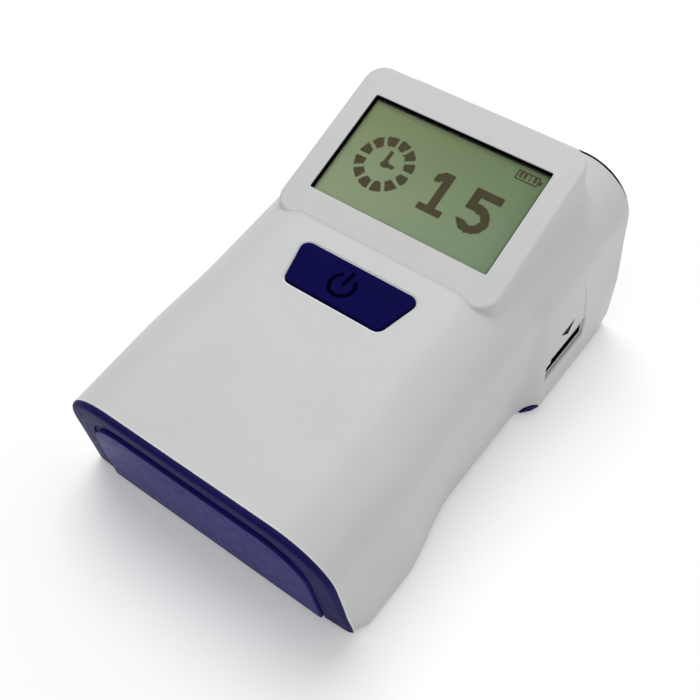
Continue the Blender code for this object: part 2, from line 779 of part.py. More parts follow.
def step_notch(name, side, radius, reach):
    """A cylinder across the shell's lower edge where the head steps out."""
    place = world(STEP_NOTCH_STATION, STEP_NOTCH_HEIGHT - STEP_NOTCH_RADIUS,
                  side * (WIDTH / 2 - OVERRUN))
    turn = Matrix.Translation(place) @ Matrix.Rotation(math.radians(90) * side, 4, "Y")
    return cylinder(name, radius, 0, reach, matrix=turn)


def make_top_housing(deck, display):
    outer = [shell_ring(share) for share in shell_shares()]
    housing = loft("top_housing", outer, "shell_white")
    head = loft("head_form", head_rings(display, 0))
    join(housing, head)

    beyond = OVERRUN / SHELL_LENGTH
    shares = [-beyond] + shell_shares()[1:-1] + [1 + beyond]
    cavity = loft("shell_cavity", [shell_ring(share, WALL, -OVERRUN) for share in shares])
    head_cavity = loft("head_cavity", head_rings(display, HEAD_WALL))
    join(cavity, head_cavity)
    cut(housing, cavity)

    # Bosses grow out of the shell's roof and end above the base
    for name, place in screw_places():
        boss = cylinder(f"boss_{name}", BOSS_RADIUS, UNDERSIDE_Z + BASE_BOSS_HEIGHT + CLEARANCE,
                        UNDERSIDE_Z + REAR_HEIGHT, centre=place, sides=SMALL_SIDES)
        trim = loft(f"roof_trim_{name}",
                    [shell_ring(share, WALL / 2, -OVERRUN) for share in shell_shares()])
        combine(boss, trim, "INTERSECT")
        join(housing, boss)
        pilot = cylinder(f"pilot_{name}", SCREW_RADIUS + CLEARANCE, UNDERSIDE_Z,
                         UNDERSIDE_Z + SCREW_SINK + SCREW_HEAD_HEIGHT + SCREW_LENGTH + EMBED,
                         centre=place, sides=SMALL_SIDES)
        cut(housing, pilot)
    for index, place in enumerate(key_post_places()):
        post = cylinder(f"key_post_{index}", KEY_POST_RADIUS, -KEY_BOARD_DROP + CLEARANCE,
                        EMBED - WALL, centre=place, sides=SMALL_SIDES, matrix=deck)
        join(housing, post)

    cut(housing, plate("window_cutter", rectangle(WINDOW_WIDTH, WINDOW_DEPTH, WINDOW_CORNER, 2),
                       -OVERRUN / 2, OVERRUN, matrix=display))
    cut(housing, plate("button_cutter", button_outline(SLIDE_CLEARANCE), -OVERRUN / 2, OVERRUN,
                       matrix=deck))
    for side_name, side in (("left", -1), ("right", 1)):
        cut(housing, step_notch(f"step_notch_{side_name}", side, STEP_NOTCH_RADIUS, 2 * OVERRUN))
    cut(housing, make_slot_cutter(), make_facet_cutter(), make_mouth_cutter())
    weld = housing.modifiers.new("weld", "WELD")
    weld.merge_threshold = WELD_DISTANCE
    return housing


# Base housing

def base_outline(inset, lead, start, end):
    """Plan outline inside the shell's foot, with its step moved forward by a lead."""
    shell_stations = [mix(PARTING_SETBACK, SHELL_LENGTH, share) for share in shell_shares()]
    stations = [start] + [place for place in shell_stations if start < place < end] + [end]
    right = [(ground_half(place + lead) - inset, GROUND_FRONT_Y + place) for place in stations]
    return right + [(-x, y) for x, y in reversed(right)]


def panel_half(inset, bottom=0):
    """Right half of the front panel's outline in its leaning plane."""
    return arch(WIDTH / 2 - CORNER_TUCK - inset, FRONT_SHOULDER_HALF - inset,
                FRONT_SHOULDER_RADIUS - inset, FRONT_HEIGHT - inset, bottom)


def make_front_panel():
    """The plug that closes the shell's front, with a rounded band round its face."""
    rings = []
    for inset, behind, bottom in ((INNER_GAP, FRONT_PANEL_DEPTH, EMBED),
                                  (INNER_GAP, -CLEARANCE, EMBED), (0, -CLEARANCE, 0)):
        outline = both_sides(panel_half(inset, bottom))
        rings.append([world(parting_station(z) + behind, z, x) for x, z in outline])
    for step in range(1, EDGE_STEPS + 1):
        angle = math.radians(90) * step / EDGE_STEPS
        ring = []
        for x, z in both_sides(panel_half(FRONT_BAND * (1 - math.cos(angle)))):
            station = mix(parting_station(z) - CLEARANCE, face_station(z), math.sin(angle))
            ring.append(world(station, z, x))
        rings.append(ring)
    return loft("front_panel", rings)


def cover_outline(grow, raise_foot):
    half = arch(COVER_HALF + grow, COVER_HALF - COVER_SIDE_LEAN + grow, COVER_CORNER + grow,
                COVER_HEIGHT + grow, raise_foot)
    return both_sides(half)


def leaning_slab(name, outline, outer, inner, material=None):
    """A slab parallel to the front face, between two setbacks from it."""
    rings = []
    for setback in (outer, inner):
        rings.append([world(face_station(z, setback), z, x) for x, z in outline])
    return loft(name, rings, material)


def bay_form(name, grow, setback, back):
    """The front bay's box, from a plane set back from the leaning face to a station."""
    half = BAY_WIDTH / 2 + grow
    low = BAY_RAISE - grow
    high = BAY_RAISE + BAY_HEIGHT + grow
    outline = ((half, low), (half, high), (-half, high), (-half, low))
    front = [world(face_station(z, setback), z, x) for x, z in outline]
    return loft(name, [front, [world(back, z, x) for x, z in outline]])


def foot_places():
    for side_name, side in (("left", -1), ("right", 1)):
        for end_name, station in (("front", FOOT_FRONT_STATION), ("rear", FOOT_REAR_STATION)):
            yield f"{end_name}_{side_name}", world(station, 0, side * FOOT_X)


def main_post_places():
    for side in (-1, 1):
        for station in (MAIN_BOARD_START + MAIN_POST_INSET, MAIN_BOARD_END - MAIN_POST_INSET):
            yield world(station, 0, side * (MAIN_BOARD_WIDTH / 2 - MAIN_POST_INSET))


def make_base_housing():
    floor_end = SHELL_LENGTH - REAR_PANEL_DEPTH - CLEARANCE
    base = plate("base_housing", base_outline(INNER_GAP + CLEARANCE, 0, EMBED / 2, floor_end),
                 UNDERSIDE_Z + SKIRT_RAISE, UNDERSIDE_Z + BASE_FLOOR, "base_blue")
    panel = make_front_panel()
    lip = INNER_GAP + PANEL_LIP
    hollow = both_sides(panel_half(lip, BASE_FLOOR + CLEARANCE))
    cut(panel, leaning_slab("panel_hollow", hollow, FRONT_WALL, FRONT_PANEL_DEPTH + OVERRUN))
    join(base, panel)

    # Lugs that fill the notches where the head steps out
    for side_name, side in (("left", -1), ("right", 1)):
        lug = plate(f"step_lug_{side_name}", base_outline(0, STEP_LEAD, WAIST_END, HEAD_START + EMBED),
                    UNDERSIDE_Z, UNDERSIDE_Z + STEP_NOTCH_HEIGHT)
        round_form = step_notch(f"lug_round_{side_name}", side, STEP_NOTCH_RADIUS - CLEARANCE,
                                2 * OVERRUN)
        combine(lug, round_form, "INTERSECT")
        join(base, lug)

    # Bay behind the front cover
    shell = bay_form("bay_shell", BAY_WALL, BAY_WALL, BAY_DEPTH + BAY_WALL)
    recess = leaning_slab("cover_recess", cover_outline(SLIDE_CLEARANCE, -OVERRUN / 2), -OVERRUN / 2,
                          COVER_THICKNESS - COVER_PROUD + CLEARANCE)
    hollow = bay_form("bay_hollow", 0, -OVERRUN, BAY_DEPTH)
    join(base, shell)
    cut(base, recess, hollow)

    # Battery ribs, chute rest, board posts and the jack's saddle
    for index, (low, high) in enumerate(battery_rib_boxes()):
        join(base, box(f"battery_rib_{index}", low, high))
    for index, (low, high) in enumerate(chute_rest_boxes()):
        join(base, box(f"chute_rest_{index}", low, high))
    for index, place in enumerate(main_post_places()):
        post = cylinder(f"main_post_{index}", MAIN_POST_RADIUS, UNDERSIDE_Z + EMBED,
                        UNDERSIDE_Z + MAIN_BOARD_RAISE - CLEARANCE, centre=place, sides=SMALL_SIDES)
        join(base, post)
    saddle_low = world(SHELL_LENGTH - REAR_PANEL_DEPTH - JACK_SADDLE, EMBED, JACK_X - JACK_RADIUS)
    saddle_high = world(SHELL_LENGTH - REAR_PANEL_DEPTH - EMBED, JACK_RAISE - JACK_RADIUS / 2,
                        JACK_X + JACK_RADIUS)
    join(base, box("jack_saddle", saddle_low, saddle_high))
    cut(base, jack_clearance("jack_seat"))

    # Screw bosses and foot recesses
    for name, place in screw_places():
        join(base, cylinder(f"base_boss_{name}", BOSS_RADIUS, UNDERSIDE_Z + EMBED,
                            UNDERSIDE_Z + BASE_BOSS_HEIGHT, centre=place, sides=SMALL_SIDES))
        cut(base, cylinder(f"screw_hole_{name}", SCREW_RADIUS + CLEARANCE, UNDERSIDE_Z - OVERRUN,
                           UNDERSIDE_Z + OVERRUN * 2, centre=place, sides=SMALL_SIDES))
        cut(base, cylinder(f"head_hole_{name}", SCREW_HEAD_RADIUS + CLEARANCE,
                           UNDERSIDE_Z - OVERRUN,
                           UNDERSIDE_Z + SCREW_SINK + SCREW_HEAD_HEIGHT + CLEARANCE,
                           centre=place, sides=SMALL_SIDES))
    for name, place in foot_places():
        cut(base, cylinder(f"foot_seat_{name}", FOOT_RADIUS + CLEARANCE, UNDERSIDE_Z - OVERRUN,
                           FOOT_THICKNESS + CLEARANCE, centre=place))
    return base


# Rear panel and power jack

def jack_frame():
    """A placing matrix with Z along the jack's axis, from its inner end to the reader's back."""
    place = world(SHELL_LENGTH + REAR_PANEL_PROUD - JACK_LENGTH, JACK_RAISE, JACK_X)
    return Matrix.Translation(place) @ Matrix.Rotation(math.radians(-90), 4, "X")


def jack_clearance(name):
    return cylinder(name, JACK_RADIUS + CLEARANCE, -OVERRUN, JACK_LENGTH + OVERRUN,
                    matrix=jack_frame())


def make_rear_panel():
    levels = [(INNER_GAP, -REAR_PANEL_DEPTH, EMBED), (INNER_GAP, 0, EMBED),
              (INNER_GAP, CLEARANCE, EMBED), (REAR_PANEL_INSET, CLEARANCE, 0)]
    for step in range(1, EDGE_STEPS + 1):
        angle = math.radians(90) * step / EDGE_STEPS
        levels.append((REAR_PANEL_INSET + REAR_EDGE_RADIUS * (1 - math.cos(angle)),
                       REAR_PANEL_PROUD - REAR_EDGE_RADIUS * (1 - math.sin(angle)), 0))
    rings = []
    for inset, offset, bottom in levels:
        section = shell_section(min(1, share_at(SHELL_LENGTH + offset)), inset, bottom)
        rings.append([world(SHELL_LENGTH + offset, z, x) for x, z in section])
    panel = loft("rear_panel", rings, "base_blue")
    hollow = []
    for offset in (-OVERRUN, REAR_PANEL_PROUD - REAR_WALL):
        section = shell_section(share_at(SHELL_LENGTH + offset), INNER_GAP + PANEL_LIP, BASE_FLOOR)
        hollow.append([world(SHELL_LENGTH + offset, z, x) for x, z in section])
    cut(panel, loft("rear_hollow", hollow))
    return cut(panel, jack_clearance("jack_hole"))


def make_power_jack():
    turn = jack_frame()
    jack = cylinder("power_jack", JACK_RADIUS, 0, JACK_LENGTH - CLEARANCE, matrix=turn,
                    material="black_plastic")
    bore = cylinder("jack_bore", JACK_BORE, BAY_WALL, JACK_LENGTH + OVERRUN, matrix=turn)
    cut(jack, bore)
    pin = cylinder("jack_pin", JACK_PIN, BAY_WALL / 2, JACK_LENGTH - BAY_WALL, sides=SMALL_SIDES,
                   matrix=turn)
    return join(jack, pin)


# Front bay cover

def make_bay_cover():
    cover = leaning_slab("front_bay_cover", cover_outline(0, COVER_RAISE), -COVER_PROUD,
                         COVER_THICKNESS - COVER_PROUD, "base_blue")
    bevel(cover, COVER_EDGE)
    back = COVER_THICKNESS - COVER_PROUD
    rim_end = face_station(BAY_RAISE, back) + RIM_DEPTH
    join(cover, bay_form("cover_rim", -SLIDE_CLEARANCE, back - EMBED / 2, rim_end))
    cut(cover, bay_form("rim_hollow", -SLIDE_CLEARANCE - RIM_WALL, back, rim_end + OVERRUN))
    return cover


# Display stack

def make_display_parts(display):
    lens_top = -HEAD_WALL - CLEARANCE
    lens_low = lens_top - LENS_THICKNESS
    lcd_top = lens_low - CLEARANCE
    lcd_low = lcd_top - LCD_THICKNESS
    light_top = lcd_low - CLEARANCE
    light_low = light_top - BACKLIGHT_THICKNESS
    width = WINDOW_WIDTH + 2 * LENS_LAP
    depth = WINDOW_DEPTH + 2 * LENS_LAP
    plate("display_window", rectangle(width, depth, LENS_LAP), lens_low, lens_top, "clear_lens",
          display)
    box("lcd_panel", (-width / 2, -depth / 2, lcd_low), (width / 2, depth / 2, lcd_top),
        "lcd_green", display)
    box("lcd_backlight", (-width / 2, -depth / 2, light_low), (width / 2, depth / 2, light_top),
        "light_guide", display)
    inner_x = width / 2 + CLEARANCE
    inner_y = depth / 2 + CLEARANCE
    frame_low = light_low - CLEARANCE - FRAME_BACK
    frame = box("display_frame", (-inner_x - FRAME_WALL, -inner_y - FRAME_WALL, frame_low),
                (inner_x + FRAME_WALL, inner_y + FRAME_WALL, lens_top), "black_plastic", display)
    well = box("frame_well", (-inner_x, -inner_y, frame_low + FRAME_BACK),
               (inner_x, inner_y, OVERRUN), matrix=display)
    back_hole = box("frame_back", (-inner_x + FRAME_LIP, -inner_y + FRAME_LIP, frame_low - OVERRUN),
                    (inner_x - FRAME_LIP, inner_y - FRAME_LIP, OVERRUN), matrix=display)
    cut(frame, well, back_hole)
    return frame_low


# Power button and its switch

def make_button(deck):
    """Cap, flange and stem of the button, in the deck's own frame."""
    cap = plate("power_button", button_outline(0), -WALL - CLEARANCE - EMBED / 2, BUTTON_PROUD,
                "button_blue", deck)
    bevel(cap, BUTTON_EDGE)
    flange_top = -WALL - CLEARANCE
    flange = plate("button_flange", button_outline(BUTTON_FLANGE),
                   flange_top - BUTTON_FLANGE_THICKNESS, flange_top, matrix=deck)
    switch_top = SWITCH_HEIGHT - KEY_BOARD_DROP
    stem_end = switch_top + PLUNGER_HEIGHT + CLEARANCE
    stem = cylinder("button_stem", BUTTON_STEM_RADIUS, stem_end,
                    flange_top - BUTTON_FLANGE_THICKNESS / 2, sides=SMALL_SIDES, matrix=deck)
    join(cap, flange, stem)

    board_top = -KEY_BOARD_DROP
    half_x = KEY_BOARD_WIDTH / 2
    half_y = KEY_BOARD_DEPTH / 2
    box("key_board", (-half_x, -half_y, board_top - BOARD_THICKNESS), (half_x, half_y, board_top),
        "board_green", deck)
    body_low = board_top + CLEARANCE
    side = SWITCH_SIDE / 2
    switch = box("button_switch", (-side, -side, body_low), (side, side, switch_top),
                 "black_plastic", deck)
    cut(switch, cylinder("switch_well", PLUNGER_RADIUS + CLEARANCE, switch_top - SWITCH_WELL,
                         switch_top + OVERRUN, sides=SMALL_SIDES, matrix=deck))
    cylinder("switch_plunger", PLUNGER_RADIUS, switch_top - PLUNGER_SEAT,
             switch_top + PLUNGER_HEIGHT, sides=SMALL_SIDES, material="steel", matrix=deck)


# Cassette chute, optics and sensing switch

def chute_box(name, grow, start_x, end_x, material=None):
    half = SLOT_WIDTH / 2 + CHUTE_PLAY + grow
    low = world(SLOT_STATION - half, SLOT_RAISE - CHUTE_PLAY - grow, start_x)
    high = world(SLOT_STATION + half, SLOT_RAISE + SLOT_HEIGHT + CHUTE_PLAY + grow, end_x)
    return box(name, low, high, material)


def chute_start():
    top = SLOT_RAISE + SLOT_HEIGHT + CHUTE_PLAY + CHUTE_WALL
    wall = ground_half(SLOT_STATION) - wall_lean(SLOT_STATION) * top
    return wall - WALL - 2 * CLEARANCE


def read_x():
    """Middle of the reading window across the reader."""
    return chute_start() - READ_REACH


def sense_x():
    """Right end of the sensing switch."""
    return chute_start() - SENSE_REACH


def make_chute():
    start = chute_start()
    end = start - CHUTE_REACH
    chute = chute_box("cassette_chute", CHUTE_WALL, end, start, "black_plastic")
    cut(chute, chute_box("chute_hollow", 0, end + CHUTE_WALL, start + OVERRUN))
    top = SLOT_RAISE + SLOT_HEIGHT
    window_low = world(SLOT_STATION - READ_WINDOW_WIDTH / 2, top - EMBED,
                       read_x() - READ_WINDOW_LENGTH / 2)
    window_high = world(SLOT_STATION + READ_WINDOW_WIDTH / 2, top + OVERRUN,
                        read_x() + READ_WINDOW_LENGTH / 2)
    cut(chute, box("read_window", window_low, window_high))
    lever_low = world(SLOT_STATION - LEVER_WIDTH, top - EMBED, sense_x() - LEVER_LENGTH)
    lever_high = world(SLOT_STATION + LEVER_WIDTH, top + OVERRUN,
                       sense_x() + LEVER_WINDOW_LEAD)
    cut(chute, box("lever_window", lever_low, lever_high))
    return chute


def chute_rest_boxes():
    """Two ribs on the floor that carry the chute."""
    top = SLOT_RAISE - CHUTE_PLAY - CHUTE_WALL - CLEARANCE
    half = SLOT_WIDTH / 2
    start = chute_start()
    for share in CHUTE_REST_SHARES:
        x = start - CHUTE_REACH * share
        yield (world(SLOT_STATION - half, EMBED, x - BATTERY_RIB),
               world(SLOT_STATION + half, top, x + BATTERY_RIB))


def make_optics():
    base_z = SLOT_RAISE + SLOT_HEIGHT + CHUTE_PLAY + CHUTE_WALL + CLEARANCE
    top_z = base_z + HOOD_HEIGHT
    centre = world(SLOT_STATION, 0, read_x())

    def ring(length, width, height):
        return [(centre.x + x, centre.y + y, UNDERSIDE_Z + height)
                for x, y in ((length / 2, -width / 2), (length / 2, width / 2),
                             (-length / 2, width / 2), (-length / 2, -width / 2))]

    hood = loft("optics_hood", [ring(HOOD_LENGTH, HOOD_WIDTH, base_z),
                                ring(HOOD_TOP_LENGTH, HOOD_TOP_WIDTH, top_z)], "black_plastic")
    inner = 2 * HOOD_WALL
    taper = (HOOD_LENGTH - HOOD_TOP_LENGTH) / HOOD_HEIGHT * OVERRUN
    hollow = loft("hood_hollow", [ring(HOOD_LENGTH - inner + taper, HOOD_WIDTH - inner + taper,
                                       base_z - OVERRUN),
                                  ring(HOOD_TOP_LENGTH - inner - taper,
                                       HOOD_TOP_WIDTH - inner - taper, top_z + OVERRUN)])
    cut(hood, hollow)

    board_low = top_z + CLEARANCE
    box("optics_board", world(SLOT_STATION - OPTICS_BOARD_WIDTH / 2, board_low,
                              read_x() - OPTICS_BOARD_LENGTH / 2),
        world(SLOT_STATION + OPTICS_BOARD_WIDTH / 2, board_low + BOARD_THICKNESS,
              read_x() + OPTICS_BOARD_LENGTH / 2), "board_green")
    sensor_top = board_low - CLEARANCE
    sensor_low = sensor_top - SENSOR_HEIGHT
    box("image_sensor", world(SLOT_STATION - SENSOR_SIDE / 2, sensor_low,
                              read_x() - SENSOR_SIDE / 2),
        world(SLOT_STATION + SENSOR_SIDE / 2, sensor_top, read_x() + SENSOR_SIDE / 2),
        "black_plastic")
    barrel_top = UNDERSIDE_Z + sensor_low - CLEARANCE
    barrel = cylinder("lens_barrel", LENS_BARREL_RADIUS, barrel_top - LENS_BARREL_HEIGHT,
                      barrel_top, centre=centre, material="black_plastic")
    cut(barrel, cylinder("barrel_bore", LENS_BARREL_RADIUS / 2, barrel_top - OVERRUN * 2,
                         barrel_top - LENS_BARREL_HEIGHT / 2, centre=centre, sides=SMALL_SIDES))
    for side_name, side in (("left", -1), ("right", 1)):
        x = read_x() + side * LED_OFFSET
        box(f"reader_led_{side_name}",
            world(SLOT_STATION - LED_WIDTH / 2, sensor_top - LED_HEIGHT, x - LED_LENGTH / 2),
            world(SLOT_STATION + LED_WIDTH / 2, sensor_top, x + LED_LENGTH / 2), "led_amber")


def make_sensing_switch():
    """A small lever switch that the cassette lifts at the end of its travel."""
    chute_top = SLOT_RAISE + SLOT_HEIGHT + CHUTE_PLAY + CHUTE_WALL
    body_low = chute_top + LEVER_GAP + LEVER_THICKNESS + LEVER_GAP
    body_start = sense_x() - SENSE_LENGTH
    body = box("cassette_switch", world(SLOT_STATION - SENSE_WIDTH / 2, body_low, body_start),
               world(SLOT_STATION + SENSE_WIDTH / 2, body_low + SENSE_HEIGHT, sense_x()),
               "black_plastic")
    # Ears beside the lever carry its pin and rest on the chute
    for side_name, side in (("front", -1), ("rear", 1)):
        inner = SLOT_STATION + side * (LEVER_WIDTH + CLEARANCE)
        outer = inner + side * EMBED
        low = world(min(inner, outer), chute_top + CLEARANCE, body_start)
        high = world(max(inner, outer), body_low + EMBED, sense_x())
        ear = box(f"switch_ear_{side_name}", low, high)
        join(body, ear)
    bridge = box("switch_bridge",
                 world(SLOT_STATION - LEVER_WIDTH - CLEARANCE - EMBED, body_low, body_start),
                 world(SLOT_STATION + LEVER_WIDTH + CLEARANCE + EMBED, body_low + 2 * EMBED, sense_x()))
    join(body, bridge)

    pivot = lever_pivot()
    turn = Matrix.Translation(pivot)
    half = LEVER_WIDTH / 2
    dip = -(LEVER_GAP + CHUTE_WALL + CHUTE_PLAY + LEVER_DIP)
    bend, low = LEVER_BEND_SHARES
    path = ((0, 0), (LEVER_LENGTH * bend, 0), (LEVER_LENGTH * low, dip),
            (LEVER_LENGTH, dip * LEVER_TIP_SHARE))
    rings = []
    for x, z in path:
        rings.append([(x, -half, z), (x, half, z), (x, half, z + LEVER_THICKNESS),
                      (x, -half, z + LEVER_THICKNESS)])
    lever = loft("switch_lever", rings, "steel", turn)
    pin_turn = turn @ Matrix.Rotation(math.radians(90), 4, "X")
    pin = cylinder("lever_pin", LEVER_PIN_RADIUS, -LEVER_WIDTH, LEVER_WIDTH, sides=SMALL_SIDES,
                   matrix=pin_turn)
    join(lever, pin)


def lever_pivot():
    chute_top = SLOT_RAISE + SLOT_HEIGHT + CHUTE_PLAY + CHUTE_WALL
    return world(SLOT_STATION, chute_top + LEVER_GAP, sense_x() - SENSE_LENGTH + LEVER_PIN_RADIUS)


# Boards, battery and small parts

def battery_rib_boxes():
    """Four ribs on the floor that box the battery in."""
    gap = CLEARANCE
    top = BASE_FLOOR + BATTERY_RIB_HEIGHT
    half = BATTERY_WIDTH / 2
    for station in (BATTERY_START - gap - BATTERY_RIB, BATTERY_END + gap):
        yield (world(station, EMBED, -half / 2), world(station + BATTERY_RIB, top, half / 2))
    for x in (-half - gap - BATTERY_RIB, half + gap):
        yield (world(mix(BATTERY_START, BATTERY_END, BATTERY_RIB_SHARES[0]), EMBED, x),
               world(mix(BATTERY_START, BATTERY_END, BATTERY_RIB_SHARES[1]), top, x + BATTERY_RIB))


def make_battery():
    low = world(BATTERY_START, BASE_FLOOR + CLEARANCE, -BATTERY_WIDTH / 2)
    high = world(BATTERY_END, BASE_FLOOR + CLEARANCE + BATTERY_HEIGHT, BATTERY_WIDTH / 2)
    battery = box("battery_pack", low, high, "battery_wrap")
    return bevel(battery, BATTERY_CORNER)


def make_main_board():
    low = world(MAIN_BOARD_START, MAIN_BOARD_RAISE, -MAIN_BOARD_WIDTH / 2)
    high = world(MAIN_BOARD_END, MAIN_BOARD_RAISE + BOARD_THICKNESS, MAIN_BOARD_WIDTH / 2)
    box("main_board", low, high, "board_green")
    top = MAIN_BOARD_RAISE + BOARD_THICKNESS + CLEARANCE
    box("processor_chip", world(CHIP_STATION - CHIP_SIDE / 2, top, -CHIP_SIDE / 2),
        world(CHIP_STATION + CHIP_SIDE / 2, top + CHIP_HEIGHT, CHIP_SIDE / 2), "black_plastic")
    buzzer = cylinder("buzzer", BUZZER_RADIUS, UNDERSIDE_Z + top, UNDERSIDE_Z + top + BUZZER_HEIGHT,
                      centre=world(BUZZER_STATION, 0, BUZZER_X), material="black_plastic")
    cut(buzzer, cylinder("buzzer_port", BUZZER_PORT_RADIUS, UNDERSIDE_Z + top + BUZZER_HEIGHT / 2,
                         UNDERSIDE_Z + top + OVERRUN, sides=SMALL_SIDES,
                         centre=world(BUZZER_STATION, 0, BUZZER_X)))


def make_data_socket():
    """The module socket, at the back of the bay."""
    back = BAY_DEPTH - CLEARANCE
    low_z = BAY_RAISE + (BAY_HEIGHT - SOCKET_HEIGHT) / 2
    low = world(back - SOCKET_DEPTH, low_z, SOCKET_X - SOCKET_WIDTH / 2)
    high = world(back, low_z + SOCKET_HEIGHT, SOCKET_X + SOCKET_WIDTH / 2)
    socket = box("data_socket", low, high, "steel")
    inset = Vector((SOCKET_WALL, 0, SOCKET_WALL))
    hollow = box("socket_hollow", low + inset - Vector((0, OVERRUN, 0)),
                 high - inset - Vector((0, SOCKET_WALL, 0)))
    return cut(socket, hollow)


def make_flex(display, frame_low):
    """The ribbon from the display down to the key board."""
    start = display @ Vector((0, -WINDOW_DEPTH / 2 + FRAME_LIP, frame_low - CLEARANCE))
    deck, _ = make_frames()
    end = deck @ Vector((0, KEY_BOARD_DEPTH / 2 - BOARD_THICKNESS,
                         -KEY_BOARD_DROP - BOARD_THICKNESS - CLEARANCE - FLEX_THICKNESS))
    sag = min(start.z, end.z) - FLEX_BEND
    first, middle, last = FLEX_STATION_SHARES
    path = (start, Vector((0, mix(start.y, end.y, first), mix(start.z, sag, FLEX_DROP_SHARE))),
            Vector((0, mix(start.y, end.y, middle), sag)),
            Vector((0, mix(start.y, end.y, last), mix(end.z, sag, FLEX_DROP_SHARE))), end)
    rings = []
    for index, point in enumerate(path):
        before = path[max(0, index - 1)]
        after = path[min(len(path) - 1, index + 1)]
        along = (after - before).normalized()
        across = Vector((0, -along.z, along.y)) * (FLEX_THICKNESS / 2)
        half = Vector((FLEX_WIDTH / 2, 0, 0))
        rings.append([point - half - across, point + half - across, point + half + across,
                      point - half + across])
    return loft("display_flex", rings, "flex_orange")


def make_screws():
    for name, place in screw_places():
        low = UNDERSIDE_Z + SCREW_SINK
        shank = low + SCREW_HEAD_HEIGHT
        screw = cylinder(f"case_screw_{name}", SCREW_HEAD_RADIUS, low, shank, centre=place,
                         sides=SMALL_SIDES, material="steel")
        join(screw, cylinder(f"shank_{name}", SCREW_RADIUS, shank - SCREW_HEAD_HEIGHT / 2,
                             shank + SCREW_LENGTH, centre=place, sides=SMALL_SIDES))
        cut(screw, cylinder(f"drive_{name}", DRIVE_RADIUS, low - OVERRUN, low + DRIVE_DEPTH,
                            centre=place, sides=DRIVE_SIDES))


def make_feet():
    for name, place in foot_places():
        foot = cylinder(f"foot_{name}", FOOT_RADIUS, 0, FOOT_THICKNESS, centre=place,
                        material="rubber_black")
        bevel(foot, FOOT_EDGE, segments=1)


def build():
    clear_scene()
    make_collection(COLLECTION_NAME)
    make_collection(CUTTER_COLLECTION_NAME)
    deck, display = make_frames()
    make_top_housing(deck, display)
    make_base_housing()
    make_rear_panel()
    make_power_jack()
    make_bay_cover()
    frame_low = make_display_parts(display)
    make_button(deck)
    make_chute()
    make_optics()
    make_sensing_switch()
    make_battery()
    make_main_board()
    make_data_socket()
    make_flex(display, frame_low)
    make_screws()
    make_feet()


build()
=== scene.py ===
"""Looks of the rapid test reader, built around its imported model.

Metres, +Z up, +X to the reader's right, +Y to its back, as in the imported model.
Stations along Y are measured from the line where the front face meets the
underside, heights from the underside.
"""
import math

import bmesh
import bpy
import numpy as np
from mathutils import Matrix, Vector
from mathutils.geometry import delaunay_2d_cdt


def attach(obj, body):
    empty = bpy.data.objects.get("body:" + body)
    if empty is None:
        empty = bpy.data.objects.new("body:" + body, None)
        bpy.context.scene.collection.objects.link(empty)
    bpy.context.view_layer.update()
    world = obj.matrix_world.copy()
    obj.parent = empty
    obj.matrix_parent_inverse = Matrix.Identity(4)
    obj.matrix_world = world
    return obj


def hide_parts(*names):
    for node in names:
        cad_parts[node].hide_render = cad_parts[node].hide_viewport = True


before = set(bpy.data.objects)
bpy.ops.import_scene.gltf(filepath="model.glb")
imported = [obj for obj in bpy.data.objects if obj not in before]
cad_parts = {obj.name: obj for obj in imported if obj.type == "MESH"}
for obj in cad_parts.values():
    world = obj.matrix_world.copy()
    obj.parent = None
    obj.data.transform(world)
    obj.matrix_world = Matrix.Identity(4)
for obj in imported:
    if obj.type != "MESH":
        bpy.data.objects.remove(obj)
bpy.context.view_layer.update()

# Outer shell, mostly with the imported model's sizes
WIDTH = 0.09194
SHELL_LENGTH = 0.1300
FRONT_HEIGHT = 0.0408
REAR_HEIGHT = 0.0588
FRONT_SHOULDER_TUCK = 0.0039
REAR_SHOULDER_TUCK = 0.0019
FRONT_SHOULDER_RADIUS = 0.0165
REAR_SHOULDER_RADIUS = 0.0170
PARTING_LEAN = math.tan(math.radians(8.3))
PARTING_SETBACK = 0.0010
SKIN_THICKNESS = 0.0024
SKIRT_RAISE = 0.0003
FOOT_STAND = 0.0008
SOFT_CORNER_IN = 0.0008
SOFT_CORNER_BACK = 0.0005
SOFT_CORNER_START = 0.034
SOFT_CORNER_LENGTH = 0.006
SOFT_CORNER_HEIGHT = 0.010
EDGE_LINE = 0.0003
WELD = 0.000002
PALE = 0.95
WAIST_DEPTH = 0.0045
WAIST_START = 0.0200
WAIST_FULL = 0.0500
WAIST_END = 0.0820
HEAD_START = 0.0905
SHOULDER_WAIST_SHARE = 0.3
CORNER_TUCK = 0.0013
CORNER_TUCK_LENGTH = 0.0070
GROUND_FRONT_Y = -0.062597
NOTCH_STATION = 0.0872
NOTCH_RADIUS = 0.0031
NOTCH_HEIGHT = 0.0020
NOTCH_GAP = 0.0003
TAB_LEAST_X = 0.0385
TAB_MOST_LENGTH = 0.0040
TAB_MOST_HEIGHT = 0.0032
REAR_TUCK = 0.0010
REAR_TUCK_LENGTH = 0.0050
REAR_TUCK_HEIGHT = 0.0065
REAR_SPLAY = 0.0015
REAR_BULGE = 0.0009
REAR_BULGE_HEIGHTS = (0.0, 0.0070, 0.0150, 0.0440)
REAR_SPLAY_START = 0.90
UNROLLED = (0, 0.0268, 0.0520, 0.0770)

